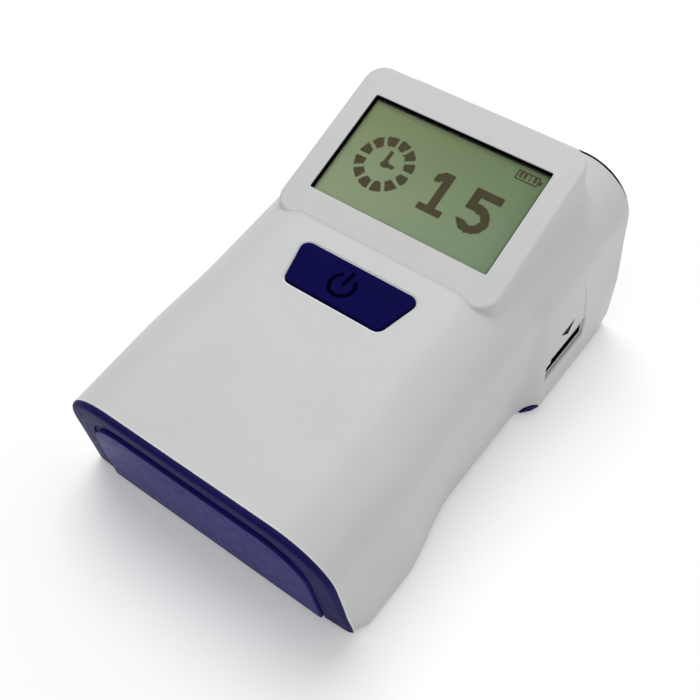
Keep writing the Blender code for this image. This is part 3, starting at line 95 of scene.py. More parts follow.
# Display head
DISPLAY_TILT = math.radians(21.6)
DISPLAY_STATION = 0.0929
DISPLAY_HEIGHT = 0.05986
BEZEL_WIDTH = 0.0694
BEZEL_FRONT = -0.02575
BEZEL_REAR = 0.0263
BEZEL_CORNER = 0.0056
BEZEL_EDGE = 0.0009
HEAD_DRAFT = math.tan(math.radians(6))
HEAD_FLAT = 0.0040
WINDOW_WIDTH = 0.0563
WINDOW_DEPTH = 0.0333
WINDOW_CORNER = 0.0005
WALL_REACH = 0.012
FILLET_LEAST = 0.0004
FILLET_WALL_SHARE = 0.46
FILLET_ROOF_SHARE = 0.30
CREASE_SHADE = 0.15

# Power button
BUTTON_STATION = 0.0563
BUTTON_REAR_HALF = 0.0186
BUTTON_FRONT_HALF = 0.0148
BUTTON_DEPTH = 0.0135
BUTTON_CORNER = 0.0023
BUTTON_GAP = 0.00032
BUTTON_PROUD = 0.0007
BUTTON_EDGE = 0.0003
BUTTON_BODY = 0.0038
BUTTON_RIM = 0.00022
BUTTON_LAND = 0.00026
ICON_X = -0.0009
ICON_HEIGHT = -0.0003
ICON_TURN = math.radians(-6)
ICON_RADIUS = 0.0040
ICON_STROKE = 0.0011
ICON_GAP = math.radians(36)
ICON_BAR_TOP = 0.0050
ICON_DEPTH = 0.00025
ICON_PAINT = 0.000025

# Cassette slot, its flared mouth and the shallow facet over it
SLOT_FRONT = 0.0911
SLOT_REAR = 0.1113
SLOT_LOW = 0.0129
SLOT_HIGH = 0.0172
SLOT_STEP_WIDTH = 0.0022
SLOT_STEP_DROP = 0.0013
MOUTH_DEPTH = 0.0016
MOUTH_BOTTOM_FLARE = 0.0035
MOUTH_REAR_FLARE = 0.0026
MOUTH_MARGIN = 0.0002
MOUTH_CORNER = 0.0010
MOUTH_SHADE = 0.85
MOUTH_SHARES = (1, 0.86, 0.72, 0.58, 0.45, 0.33, 0.22, 0.12, 0.05, 0)
COLLAR_WALL = 0.00045
COLLAR_DEPTH = 0.00027
COLLAR_FLUSH = 0.00002
LINER_INSET = 0.00003
LINER_DEPTH = 0.00036
LINER_REACH = 0.0090
LINER_WALL = 0.00012
FACET_DEPTH = 0.0003
FACET_STEP = 0.00012
FACET_MIDDLE = 0.0983
FACET_REAR_REACH = 0.0160
FACET_FADE_REACH = 0.0013
FACET_CENTRE_HEIGHT = 0.0020
FACET_HEIGHT = 0.0426
FACET_START = math.radians(22)
ARROW = ((0.10587, 0.0233), (0.09788, 0.02305), (0.10242, 0.01997))
ARROW_LIFT = 0.00003

# Display stack, as depths below the bezel's face
LIP_DEPTH = 0.00035
LINING_DEPTH = 0.0021
LINING_THICKNESS = 0.0002
PANE_DEPTH = 0.0010
PANE_THICKNESS = 0.0004
LCD_DEPTH = 0.0018
LCD_THICKNESS = 0.0022
MARK_LIFT = 0.00003
LCD_WIDTH = 0.0591
LCD_HEIGHT = 0.0361
LCD_ACTIVE_WIDTH = 0.0564
LCD_ACTIVE_HEIGHT = 0.0320
LCD_PITCH = 0.00042

# Front face and its cover, and the rim of the rear panel
FACE_LEAN = math.tan(math.radians(9.4))
FRONT_EDGE_LEAD = 0.00014
COVER_HALF = 0.0356
COVER_HEIGHT = 0.0332
COVER_SIDE_LEAN = 0.0022
COVER_CORNER = 0.0130
COVER_THICKNESS = 0.0021
COVER_PROUD = 0.0008
COVER_RAISE = 0.0006
COVER_EDGE = 0.0004
GROOVE_SIDE = 0.0002
GROOVE_TOP = 0.0019
GROOVE_DEPTH = 0.0006
GROOVE_SLOPE = 0.0003
REAR_RIM_WIDTH = 0.0006
REAR_RIM_STARTS = (1.18, 0.93)
REAR_RIM_TAPER = 1.40
REAR_RIM_END = 1.70
REAR_RIM_LIFT = 0.00003
REAR_RIM_INSET = 0.00004
REAR_PANEL_TRIM = 0.0012

# Places that follow
FRONT_SHOULDER_HALF = WIDTH / 2 - FRONT_SHOULDER_TUCK
REAR_SHOULDER_HALF = WIDTH / 2 - REAR_SHOULDER_TUCK
FRONT_TOP_STATION = PARTING_SETBACK - PARTING_LEAN * FRONT_HEIGHT
DECK_SLOPE = (REAR_HEIGHT - FRONT_HEIGHT) / (SHELL_LENGTH - FRONT_TOP_STATION)

# Colours of the display's lit field at its corners
LCD_LOW_LEFT = (0.385, 0.485, 0.275)
LCD_LOW_RIGHT = (0.272, 0.385, 0.222)
LCD_HIGH_LEFT = (0.250, 0.325, 0.140)
LCD_HIGH_RIGHT = (0.172, 0.262, 0.102)

# Camera, solved from the photograph
IMAGE_SIDE = 700
SENSOR_WIDTH = 36
FOCAL_PIXELS = 992.146
CAMERA_AZIMUTH = math.radians(35.743)
CAMERA_ELEVATION = math.radians(49.901)
CAMERA_ROLL = math.radians(1.086)
CAMERA_DISTANCE = 0.264143
CAMERA_TARGET = Vector((0.003887, -0.009343, 0.0308))


def mix(first, second, share):
    return first + (second - first) * share


def ease(value, start, end):
    """Zero before start, one after end, and a smooth change between them."""
    share = np.clip((value - start) / (end - start), 0, 1)
    return share * share * (3 - 2 * share)


# The shell's surface

def waist(station):
    return ease(station, WAIST_START, WAIST_FULL) - ease(station, WAIST_END, HEAD_START)


def ground_half(station):
    tuck = CORNER_TUCK * (1 - ease(station, 0, CORNER_TUCK_LENGTH))
    return WIDTH / 2 - WAIST_DEPTH * waist(station) - tuck


def deck_height(station):
    return FRONT_HEIGHT + DECK_SLOPE * (station - FRONT_TOP_STATION)


def parting_station(height):
    return PARTING_SETBACK - PARTING_LEAN * height


def section(share):
    """Centre, radius and lean of the arched section at a share of the shell's length."""
    station = mix(FRONT_TOP_STATION, SHELL_LENGTH, share)
    narrow = WAIST_DEPTH * SHOULDER_WAIST_SHARE * waist(station)
    shoulder = mix(FRONT_SHOULDER_HALF, REAR_SHOULDER_HALF, share) - narrow
    radius = mix(FRONT_SHOULDER_RADIUS, REAR_SHOULDER_RADIUS, share)
    centre_z = deck_height(station) - radius
    ground = ground_half(mix(PARTING_SETBACK, SHELL_LENGTH, share))
    return shoulder - radius, centre_z, radius, np.arctan2(ground - shoulder, centre_z)


def skin(across, share, bottom=SKIRT_RAISE, depth=0):
    """Points on the shell or set in from it by a depth.

    Across runs to 1 over the deck, to 2 round the shoulder and to 3 down the wall.
    """
    centre_x, centre_z, radius, lean = section(share)
    reach = np.abs(across)
    turn = np.pi / 2 - np.clip(reach - 1, 0, 1) * (np.pi / 2 - lean)
    drop = np.clip(reach - 2, 0, 1) * (centre_z + radius * np.sin(lean) - bottom)
    x = centre_x * np.clip(reach, 0, 1) + (radius - depth) * np.cos(turn) + drop * np.tan(lean)
    z = centre_z + (radius - depth) * np.sin(turn) - drop
    x = x - REAR_TUCK * (1 - ease(z, 0, REAR_TUCK_HEIGHT)) * ease(share, 1 - REAR_TUCK_LENGTH / SHELL_LENGTH, 1)
    low, full, last, high = REAR_BULGE_HEIGHTS
    x = x + REAR_BULGE * ease(z, low, full) * (1 - ease(z, last, high)) * ease(share, REAR_SPLAY_START, 1)
    x = np.minimum(x, WIDTH / 2)
    splay = REAR_SPLAY * (1 - np.clip(z / REAR_HEIGHT, 0, 1)) * ease(share, REAR_SPLAY_START, 1)
    y = GROUND_FRONT_Y + mix(parting_station(z), SHELL_LENGTH, share) + splay
    return np.stack(soften_corners(np.sign(across) * x, y, FOOT_STAND + z), -1)


def soften_corners(x, y, z):
    """Places near the lower front corners, drawn in and back to round them."""
    share = ease(np.abs(x), SOFT_CORNER_START, WIDTH / 2) \
        * (1 - ease(y - GROUND_FRONT_Y, -PARTING_SETBACK, SOFT_CORNER_LENGTH)) \
        * (1 - ease(z - FOOT_STAND, 0, SOFT_CORNER_HEIGHT))
    return x - np.sign(x) * SOFT_CORNER_IN * share, y + SOFT_CORNER_BACK * share, z


def roof(x, y):
    """Height, across and share of the shell's roof over places in the plan."""
    station = y - GROUND_FRONT_Y
    height = deck_height(station)
    for _ in range(5):
        front = parting_station(height)
        share = (station - front) / (SHELL_LENGTH - front)
        centre_x, centre_z, radius, lean = section(share)
        beyond = np.clip(np.abs(x) - centre_x, 0, radius * 0.995)
        height = centre_z + np.sqrt(radius * radius - beyond * beyond)
    turn = np.arcsin(np.clip((height - centre_z) / radius, 0, 1))
    reach = np.where(np.abs(x) < centre_x, np.abs(x) / centre_x,
                     1 + (np.pi / 2 - turn) / (np.pi / 2 - lean))
    return FOOT_STAND + height, np.sign(x) * reach, share


def wall_x(station, height):
    """Half the shell's width at a station and height, round the shoulder too."""
    front = parting_station(height)
    centre_x, centre_z, radius, lean = section((station - front) / (SHELL_LENGTH - front))
    drop = centre_z - height
    rounded = centre_x + np.sqrt(np.clip(radius * radius - drop * drop, 0, None))
    straight = centre_x + radius / np.cos(lean) + drop * np.tan(lean)
    return np.where(drop < -radius * np.sin(lean), rounded, straight)


def on_wall(places, depth):
    """Points on the right wall at stations and heights, set in by a depth."""
    stations, heights = np.asarray(places).T
    x = wall_x(stations, heights) - depth
    return np.column_stack((x, GROUND_FRONT_Y + stations, FOOT_STAND + heights))


DISPLAY = (Matrix.Translation((0, GROUND_FRONT_Y + DISPLAY_STATION, FOOT_STAND + DISPLAY_HEIGHT))
           @ Matrix.Rotation(DISPLAY_TILT, 4, "X"))
DECK = (Matrix.Translation((0, GROUND_FRONT_Y + BUTTON_STATION, FOOT_STAND + deck_height(BUTTON_STATION)))
        @ Matrix.Rotation(math.atan(DECK_SLOPE), 4, "X"))


# Outlines

def rounded_polygon(corners, radius, spacing, corner_steps=10, side_steps=None):
    """Points and outward normals of a convex outline, run anticlockwise, with rounded corners.

    Each side has a set number of steps, or as many as the spacing asks for.
    """
    points = []
    normals = []
    arcs = []
    count = len(corners)
    for index in range(count):
        corner = Vector(corners[index])
        before = (Vector(corners[index - 1]) - corner).normalized()
        after = (Vector(corners[(index + 1) % count]) - corner).normalized()
        half = before.angle(after) / 2
        centre = corner + (before + after).normalized() * (radius / math.sin(half))
        arcs.append((centre, math.atan2(before.x, -before.y), math.pi - 2 * half))
    for index, (centre, start, turn) in enumerate(arcs):
        for step in range(corner_steps + 1):
            angle = start + turn * step / corner_steps
            normal = Vector((math.cos(angle), math.sin(angle)))
            points.append(centre + normal * radius)
            normals.append(normal)
        here = points[-1]
        normal = normals[-1]
        following, angle, _ = arcs[(index + 1) % count]
        there = following + Vector((math.cos(angle), math.sin(angle))) * radius
        steps = side_steps or max(1, round((there - here).length / spacing))
        for step in range(1, steps):
            points.append(here.lerp(there, step / steps))
            normals.append(normal)
    return np.array(points), np.array(normals)


def box_corners(left, right, low, high):
    return ((right, low), (right, high), (left, high), (left, low))


def button_corners(grow):
    half = BUTTON_DEPTH / 2 + grow
    return ((BUTTON_FRONT_HALF + grow, -half), (BUTTON_REAR_HALF + grow, half),
            (-BUTTON_REAR_HALF - grow, half), (-BUTTON_FRONT_HALF - grow, -half))


def sheet_outline(width, depth, side_steps=None):
    """The outline of a sheet in the display, with barely rounded corners."""
    corners = box_corners(-width / 2, width / 2, -depth / 2, depth / 2)
    return rounded_polygon(corners, WINDOW_CORNER, 1, 3, side_steps)[0]


def raised(outline, height):
    return np.column_stack((outline, np.full(len(outline), height)))


def placed(points, matrix, height=0):
    """Flat outline points, set in space by a matrix."""
    return raised(points, height) @ np.array(matrix.to_3x3()).T + np.array(matrix.translation)


def unplaced(points, matrix):
    """Points in space, seen in a matrix's own frame."""
    return (points - np.array(matrix.translation)) @ np.array(matrix.to_3x3())


def unit(rows):
    return rows / np.linalg.norm(rows, axis=-1, keepdims=True)


# Objects from meshes

def new_object(name, points, faces, material, body="reader", smooth_deg=32, matrix=None):
    mesh = bpy.data.meshes.new(name)
    mesh.from_pydata([tuple(point) for point in points], [], [tuple(face) for face in faces])
    return dress(name, mesh, material, body, smooth_deg, matrix)


def dress(name, mesh, material, body="reader", smooth_deg=32, matrix=None):
    mesh.validate()
    mesh.materials.clear()
    mesh.materials.append(material)
    smooth(mesh, smooth_deg)
    item = linked(name, mesh)
    if matrix:
        item.matrix_world = matrix
    if body:
        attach(item, body)
    return item


def smooth(mesh, degrees):
    mesh.shade_smooth()
    mesh.set_sharp_from_angle(angle=math.radians(degrees))


def linked(name, data):
    item = bpy.data.objects.new(name, data)
    bpy.context.scene.collection.objects.link(item)
    return item


def finished(shape, name):
    mesh = bpy.data.meshes.new(name)
    shape.to_mesh(mesh)
    shape.free()
    return mesh


def packed_shape(name):
    """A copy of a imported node's shape, in its place and with its seams closed."""
    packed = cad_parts[name]
    shape = bmesh.new()
    shape.from_mesh(packed.data)
    bmesh.ops.transform(shape, matrix=packed.matrix_world, verts=shape.verts)
    bmesh.ops.remove_doubles(shape, verts=shape.verts, dist=WELD)
    return shape


def ring_mesh(name, rings, closed=True):
    """A mesh through rings of equal point counts, with a fan over each end if closed."""
    shape = bmesh.new()
    rows = [[shape.verts.new(point) for point in ring] for ring in rings]
    faces = []
    for first, second in zip(rows, rows[1:]):
        bridge(faces, first, second)
    if closed:
        for row, ring in ((rows[0], rings[0]), (rows[-1], rings[-1])):
            hub = shape.verts.new(np.mean(np.asarray(ring), axis=0))
            faces += [(row[index - 1], row[index], hub) for index in range(len(row))]
    for face in faces:
        shape.faces.new(face)
    bmesh.ops.recalc_face_normals(shape, faces=shape.faces)
    return finished(shape, name)


def bridge(faces, outer, inner):
    """Adds the faces between two rings of points."""
    count = len(outer)
    for index in range(count):
        following = (index + 1) % count
        faces.append((outer[index], outer[following], inner[following], inner[index]))


def cut_away(item, *meshes):
    """Cuts closed meshes from an object and keeps the result as its mesh."""
    cutters = []
    for mesh in meshes:
        cutter = linked(mesh.name, mesh)
        cutter.matrix_world = item.matrix_world
        boolean = item.modifiers.new(mesh.name, "BOOLEAN")
        boolean.operation = "DIFFERENCE"
        boolean.solver = "EXACT"
        boolean.object = cutter
        cutters.append(cutter)
    bpy.context.view_layer.update()
    graph = bpy.context.evaluated_depsgraph_get()
    result = bpy.data.meshes.new_from_object(item.evaluated_get(graph))
    item.modifiers.clear()
    item.data = result
    for cutter in cutters:
        bpy.data.objects.remove(cutter, do_unlink=True)


# Top housing

def head_profiles():
    """Rows of points from the bezel's face over its edge, down the wall and out on to the roof.

    Each row runs outward from the bezel's outline at one place round it.
    """
    outline, normals = rounded_polygon(box_corners(-BEZEL_WIDTH / 2, BEZEL_WIDTH / 2,
                                                   BEZEL_FRONT, BEZEL_REAR), BEZEL_CORNER, 0.0013)
    edge = placed(outline, DISPLAY)
    inward = -(raised(normals, 0) @ np.array(DISPLAY.to_3x3()).T)
    plan = unit(np.column_stack((normals[:, 0], normals[:, 1] / math.cos(DISPLAY_TILT))))
    wall = unit(raised(plan * HEAD_DRAFT, -1))
    half = np.arccos(np.clip((inward * wall).sum(1), -1, 1)) / 2
    tangent = BEZEL_EDGE / np.tan(half)
    centre = edge + unit(inward + wall) * (BEZEL_EDGE / np.sin(half))[:, None]
    first = edge + inward * tangent[:, None] - centre
    last = edge + wall * tangent[:, None] - centre
    sweep = np.arccos(np.clip((first * last).sum(1) / BEZEL_EDGE ** 2, -1, 1))
    rise = np.clip(edge[:, 2] - roof(edge[:, 0], edge[:, 1])[0], 0, None)

    rows = [edge + inward * (tangent + share * (HEAD_FLAT - tangent))[:, None]
            for share in (1, 0.7, 0.45, 0.25, 0.1)]
    arc_steps = 8
    for step in range(arc_steps + 1):
        part = sweep * step / arc_steps
        rows.append(centre + (np.sin(sweep - part)[:, None] * first + np.sin(part)[:, None] * last)
                    / np.sin(sweep)[:, None])
    wall_steps = 36
    rows += [edge + wall * (tangent + (rise + WALL_REACH - tangent) * step / wall_steps)[:, None]
             for step in range(1, wall_steps + 1)]
    rows = np.stack(rows, 1)

    # Where each row meets the roof, by its length from the face
    lengths = np.concatenate((np.zeros((len(rows), 1)),
                              np.cumsum(np.linalg.norm(np.diff(rows, axis=1), axis=2), 1)), 1)
    above = rows[:, :, 2] - roof(rows[:, :, 0], rows[:, :, 1])[0]
    fixed = arc_steps + 6
    profiles = []
    for index in range(len(rows)):
        row = rows[index]
        along = lengths[index]
        below = np.nonzero(above[index] < 0)[0]
        hit = below[0] if len(below) else len(row) - 1
        share = above[index][hit - 1] / (above[index][hit - 1] - above[index][hit])
        meeting = mix(along[hit - 1], along[hit], share)
        back = FILLET_LEAST + FILLET_WALL_SHARE * rise[index]
        out = FILLET_LEAST + FILLET_ROOF_SHARE * rise[index]
        start = max(meeting - back, along[1])
        place, begin, before = [at_length(row, along, length) for length in (meeting, start, start - 0.0001)]
        leave = unit(begin - before)
        foot_x, foot_y = place[:2, None] + plan[index][:, None] * np.array((out, out + 0.0001))
        foot, beyond = np.column_stack((foot_x, foot_y, roof(foot_x, foot_y)[0]))
        arrive = unit(beyond - foot)
        kept_end = min(along[fixed - 1], 0.94 * start)
        kept = list(along[:fixed] * kept_end / along[fixed - 1])
        kept += [mix(kept_end, start, part) for part in (0.33, 0.67)]
        points = [at_length(row, along, length) for length in kept]
        chord = np.linalg.norm(foot - begin)
        for step in range(13):
            t = step / 12
            points.append((2 * t ** 3 - 3 * t ** 2 + 1) * begin + (t ** 3 - 2 * t ** 2 + t) * chord * leave
                          + (3 * t ** 2 - 2 * t ** 3) * foot + (t ** 3 - t ** 2) * chord * arrive)
        profiles.append(points)
    return np.array(profiles)


def at_length(row, along, length):
    """The point of a row at a length along it."""
    return np.array([np.interp(length, along, row[:, axis]) for axis in range(3)])


def domain(across, share):
    """Places on the shell unrolled into a plane, in metres or near it."""
    sideways = np.interp(np.abs(across), range(4), UNROLLED)
    return np.column_stack((np.sign(across) * sideways, share * SHELL_LENGTH))


def skin_stations():
    """Shares of the length at which the shell is drawn, closer where its sides turn."""
    stations = np.concatenate(((0, EDGE_LINE), np.linspace(0.0013, 0.010, 8), np.linspace(0.0115, 0.080, 44),
                               np.linspace(0.0812, 0.0920, 19), np.linspace(0.0935, SHELL_LENGTH, 26)))
    return stations / SHELL_LENGTH


def notch_bottom(share):
    """Height of the shell's lower edge, with its notch under the step."""
    y = mix(PARTING_SETBACK, SHELL_LENGTH, share) - NOTCH_STATION
    rise = np.sqrt(np.clip(NOTCH_RADIUS ** 2 - y ** 2, 0, None)) + NOTCH_HEIGHT - NOTCH_RADIUS
    return np.maximum(SKIRT_RAISE, rise)


def make_top_housing(material):
    """The shell with its head, window, button opening, slot and facet in one skin."""
    profiles = head_profiles()
    feet = profiles[:, -1]
    _, foot_across, foot_share = roof(feet[:, 0], feet[:, 1])
    foot_flat = domain(foot_across, foot_share)

    rim_grow = BUTTON_GAP + BUTTON_RIM + BUTTON_LAND
    rim, rim_normals = rounded_polygon(button_corners(rim_grow), BUTTON_CORNER + rim_grow, 0.0016, 8)
    rim_points = placed(rim, DECK)
    rim_points[:, 2], rim_across, rim_share = roof(rim_points[:, 0], rim_points[:, 1])
    rim_flat = domain(rim_across, rim_share)

    mouth = mouth_rings()
    mouth_flat = domain(*unrolled(*mouth_outline(1).T))
    arcs = facet_arcs()
    arcs_flat = [domain(*unrolled(*arc.T)) for arc, _ in arcs]

    loops = (foot_flat, rim_flat, mouth_flat)
    flat, places, border, inner = shell_grid(loops, arcs_flat)
    # Painted highlight: a pale line along the shell's front edge
    rubbed_and_highlit = {index: 0.8 for index in range(len(places)) if border[index] and flat[index, 1] == 0}
    order = sorted(np.nonzero(border)[0], key=lambda i: border_rank(flat[i]))
    edges = loop_edges(order)
    points = list(places)
    painted_shade = {}
    starts = []
    for outline, its_points in zip(loops, (feet, rim_points, mouth[0])):
        starts.append(len(points))
        flat = np.concatenate((flat, outline))
        points += list(its_points)
        edges += loop_edges(range(starts[-1], len(points)))
    for outline, (_, its_points) in zip(arcs_flat, arcs):
        first = len(points)
        flat = np.concatenate((flat, outline))
        points += list(its_points)
        edges += [(index, index + 1) for index in range(first, len(points) - 1)]
    faces = triangulate(flat, edges, loops)

    add_lip(points, faces, order[::-1], [inner[i] for i in order[::-1]])
    add_head(points, faces, profiles, starts[0], painted_shade)
    add_button_rim(points, faces, rim, rim_normals, starts[1], rubbed_and_highlit)
    add_mouth(points, faces, mouth, starts[2], painted_shade)
    return shell_object(points, faces, {"painted_shade": painted_shade, "rubbed_and_highlit": rubbed_and_highlit}, material)


def shell_grid(loops, arcs):
    """The shell's own points, less those under the head, the button and the mouth.

    With them come their places in the flat, which of them lie on the border, and the same
    places on the shell's inside.
    """
    shares = skin_stations()
    across = np.concatenate((np.linspace(0, 1, 12)[:-1], np.linspace(1, 2, 19)[:-1], np.linspace(2, 3, 14)))
    across = np.concatenate((-across[:0:-1], across))
    grid_across, grid_share = np.meshgrid(across, shares)
    border = np.zeros(grid_across.shape, bool)
    border[0] = border[-1] = border[:, 0] = border[:, -1] = True
    grid_across, grid_share, border = grid_across.ravel(), grid_share.ravel(), border.ravel()
    flat = domain(grid_across, grid_share)
    keep = np.ones(len(flat), bool)
    for loop in loops:
        keep &= ~inside(flat, loop) & (nearest(flat, loop) > 0.0006)
    for arc in arcs:
        keep &= nearest(flat, arc) > 0.0005
    keep |= border
    share = grid_share[keep]
    places, inner = [skin(grid_across[keep], share, notch_bottom(share), depth)
                     for depth in (0, SKIN_THICKNESS)]
    sunk = facet_depth(places[:, 1] - GROUND_FRONT_Y, places[:, 2] - FOOT_STAND)
    places[:, 0] -= np.where(places[:, 0] > 0, sunk, 0)
    for points in (places, inner):
        points[:, 1] -= np.where(share == 0, FRONT_EDGE_LEAD, 0)
    return flat[keep], places, border[keep], inner


def add_lip(points, faces, ids, lower_points):
    """The wall's thickness at the edge of an opening, down to the points given."""
    lower = range(len(points), len(points) + len(ids))
    points += list(lower_points)
    bridge(faces, list(ids), list(lower))


def add_head(points, faces, profiles, first_foot, painted_shade):
    """The head, from its foot on the roof up to the bezel's face and in to the window.

    The middle rows of the fillet along its front are marked for painted shade, which draws a darker crease
    there.
    """
    ring_count, row_count = profiles.shape[:2]
    ids = np.zeros((ring_count, row_count), int)
    ids[:, -1] = np.arange(first_foot, first_foot + ring_count)
    for row in range(row_count - 1):
        ids[:, row] = np.arange(len(points), len(points) + ring_count)
        points += list(profiles[:, row])
    for row in range(row_count - 1):
        bridge(faces, ids[:, row + 1], ids[:, row])
    sweep = profiles[:, -1, :2] - profiles[:, 0, :2]
    front = np.clip(-sweep[:, 1] / np.linalg.norm(sweep, axis=1), 0, 1) ** 4
    # Painted shade along the crease at the front of the head's foot
    for row in range(row_count - 12, row_count):
        part = 0.5 if row < row_count - 10 or row == row_count - 1 else 1
        for index in range(ring_count):
            painted_shade[int(ids[index, row])] = CREASE_SHADE * part * front[index]
    window = sheet_outline(WINDOW_WIDTH, WINDOW_DEPTH, 8)
    window_ids = range(len(points), len(points) + len(window))
    points += list(placed(window, DISPLAY))
    fill_between(faces, unplaced(profiles[:, 0], DISPLAY)[:, :2], window, ids[:, 0], window_ids)
    add_lip(points, faces, window_ids, placed(window, DISPLAY, -PANE_DEPTH))


def add_button_rim(points, faces, rim, normals, first, rubbed_and_highlit):
    """A narrow land and the rounded edge of the button's opening, with a painted highlight, a pale line, along
    the front.
    """
    ids = np.arange(first, first + len(rim))
    rows = [(BUTTON_LAND / 12, 0)]
    for turn in np.linspace(0, math.pi / 2, 4):
        rows.append((BUTTON_LAND + BUTTON_RIM * math.sin(turn), BUTTON_RIM * (1 - math.cos(turn))))
    for width, drop in rows:
        inset = rim - normals * width
        lower = np.arange(len(points), len(points) + len(rim))
        points += list(placed(inset, DECK, -drop))
        # Painted highlight: the rim's rows are marked pale where they face the front
        rubbed_and_highlit.update((int(index), max(0, -normal[1])) for index, normal in zip(lower, normals))
        bridge(faces, ids, lower)
        ids = lower
    add_lip(points, faces, ids, placed(inset, DECK, -SKIN_THICKNESS))


def add_mouth(points, faces, rings, first, painted_shade):
    """The slot's flared mouth, down to the edge of the stepped slot, with painted shade that darkens it the
    deeper it goes.
    """
    ids = np.arange(first, first + len(rings[0]))
    for share, ring in zip(MOUTH_SHARES[1:], rings[1:]):
        lower = np.arange(len(points), len(points) + len(ring))
        points += list(ring)
        # Painted shade, darker towards the slot
        painted_shade.update((int(index), MOUTH_SHADE * min(1, (1 - share) / 0.65)) for index in lower)
        bridge(faces, ids, lower)
        ids = lower
    slot = np.array(slot_outline(0))
    slot_ids = range(len(points), len(points) + len(slot))
    points += list(on_wall(slot, MOUTH_DEPTH))
    fill_between(faces, mouth_outline(0), slot, ids, slot_ids)
    add_lip(points, faces, slot_ids, on_wall(slot, SKIN_THICKNESS))


def fill_between(faces, outer, inner, outer_ids, inner_ids):
    """Triangles between two flat outlines that run anticlockwise round the same middle."""
    middle = (np.max(inner, axis=0) + np.min(inner, axis=0)) / 2
    turns = []
    for outline in (outer, inner):
        x, y = (np.asarray(outline) - middle).T
        turn = np.unwrap(np.arctan2(y, x))
        turns.append(np.append(turn, turn[0] + 2 * math.pi))
    start = int(np.argmin(np.abs((turns[1][:-1] - turns[0][0] + math.pi) % (2 * math.pi) - math.pi)))
    inner_ids = list(inner_ids)[start:] + list(inner_ids)[:start + 1]
    outer_ids = list(outer_ids) + [outer_ids[0]]
    inner_turn = np.concatenate((turns[1][start:-1], turns[1][:start + 1] + 2 * math.pi))
    inner_turn -= 2 * math.pi * round((inner_turn[0] - turns[0][0]) / (2 * math.pi))
    i = j = 0
    while i < len(outer_ids) - 1 or j < len(inner_ids) - 1:
        outer_next = turns[0][i + 1] if i < len(outer_ids) - 1 else math.inf
        inner_next = inner_turn[j + 1] if j < len(inner_ids) - 1 else math.inf
        if outer_next <= inner_next:
            faces.append((outer_ids[i], outer_ids[i + 1], inner_ids[j]))
            i += 1
        else:
            faces.append((inner_ids[j + 1], inner_ids[j], outer_ids[i]))
            j += 1


def shell_object(points, faces, marks, material):
    shape = bmesh.new()
    for name in marks:
        shape.verts.layers.float.new(name)
    corners = [shape.verts.new(point) for point in points]
    for name, values in marks.items():
        layer = shape.verts.layers.float[name]
        for index, value in values.items():
            corners[index][layer] = value
    for face in faces:
        if len({int(i) for i in face}) > 2:
            shape.faces.new([corners[i] for i in face])
    bmesh.ops.remove_doubles(shape, verts=shape.verts, dist=WELD)
    bmesh.ops.delete(shape, geom=[v for v in shape.verts if not v.link_faces], context="VERTS")
    shell = dress("top_shell", finished(shape, "top_shell"), material, smooth_deg=28)
    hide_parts("top_housing")


# Cassette slot in the right wall

def unrolled(station, height):
    """Across and share of places on the right wall."""
    front = parting_station(height)
    share = (station - front) / (SHELL_LENGTH - front)
    centre_x, centre_z, radius, lean = section(share)
    straight = centre_z + radius * np.sin(lean)
    low = 2 + (straight - height) / (straight - notch_bottom(share))
    turn = np.arcsin(np.clip((height - centre_z) / radius, -1, 1))
    high = 1 + (np.pi / 2 - turn) / (np.pi / 2 - lean)
    return np.where(height < straight, low, high), share


def slot_outline(inset):
    """The stepped slot's outline, as stations and heights."""
    front, rear = SLOT_FRONT + inset, SLOT_REAR - inset
    low, high = SLOT_LOW + inset, SLOT_HIGH - inset
    step, shelf = front + SLOT_STEP_WIDTH, high - SLOT_STEP_DROP
    return ((front, low), (rear, low), (rear, high), (step, high), (step, shelf), (front, shelf))


def mouth_outline(share):
    """The mouth's outline, at the slot's edge for 0 and at the wall's surface for 1."""
    rear = SLOT_REAR + MOUTH_MARGIN + MOUTH_REAR_FLARE * share
    low = SLOT_LOW - MOUTH_MARGIN - MOUTH_BOTTOM_FLARE * share
    corners = box_corners(SLOT_FRONT - MOUTH_MARGIN, rear, low, SLOT_HIGH + MOUTH_MARGIN)
    return rounded_polygon(corners, mix(MOUTH_MARGIN, MOUTH_CORNER, share), 1, 5, 10)[0]


def mouth_rings():
    return [on_wall(outline, mix(facet_depth(*outline.T), MOUTH_DEPTH, (1 - share) ** 2))
            for share, outline in ((share, mouth_outline(share)) for share in MOUTH_SHARES)]


def facet_arc(turns):
    return np.column_stack((FACET_MIDDLE + FACET_REAR_REACH * np.cos(turns),
                            FACET_CENTRE_HEIGHT + FACET_HEIGHT * np.sin(turns)))


def facet_depth(station, height):
    """How far the shallow facet lies behind the wall's own surface."""
    behind = station - FACET_MIDDLE
    up = (height - FACET_CENTRE_HEIGHT) / FACET_HEIGHT
    within = (up < 1) & ((behind < 0) | ((behind / FACET_REAR_REACH) ** 2 + up ** 2 < 0.9995))
    low_fade = ease(height, SLOT_LOW - MOUTH_BOTTOM_FLARE, SLOT_HIGH)
    share = np.clip((behind + FACET_FADE_REACH) / (FACET_REAR_REACH + FACET_FADE_REACH), 0, 1)
    return np.where(within, FACET_DEPTH * share ** 1.5 * low_fade, 0)


def facet_arcs():
    """The facet's arched edge twice over, on the wall and a little inside it on the facet."""
    turns = np.linspace(FACET_START, math.pi / 2 * 0.97, 36)
    edge = facet_arc(turns)
    middle = np.array((FACET_MIDDLE, FACET_CENTRE_HEIGHT))
    inner = middle + (edge - middle) * (1 - FACET_STEP / FACET_REAR_REACH)
    inner[:, 1] = np.minimum(inner[:, 1], edge[:, 1])
    return ((edge, on_wall(edge, 0)), (inner, on_wall(inner, facet_depth(*inner.T))))


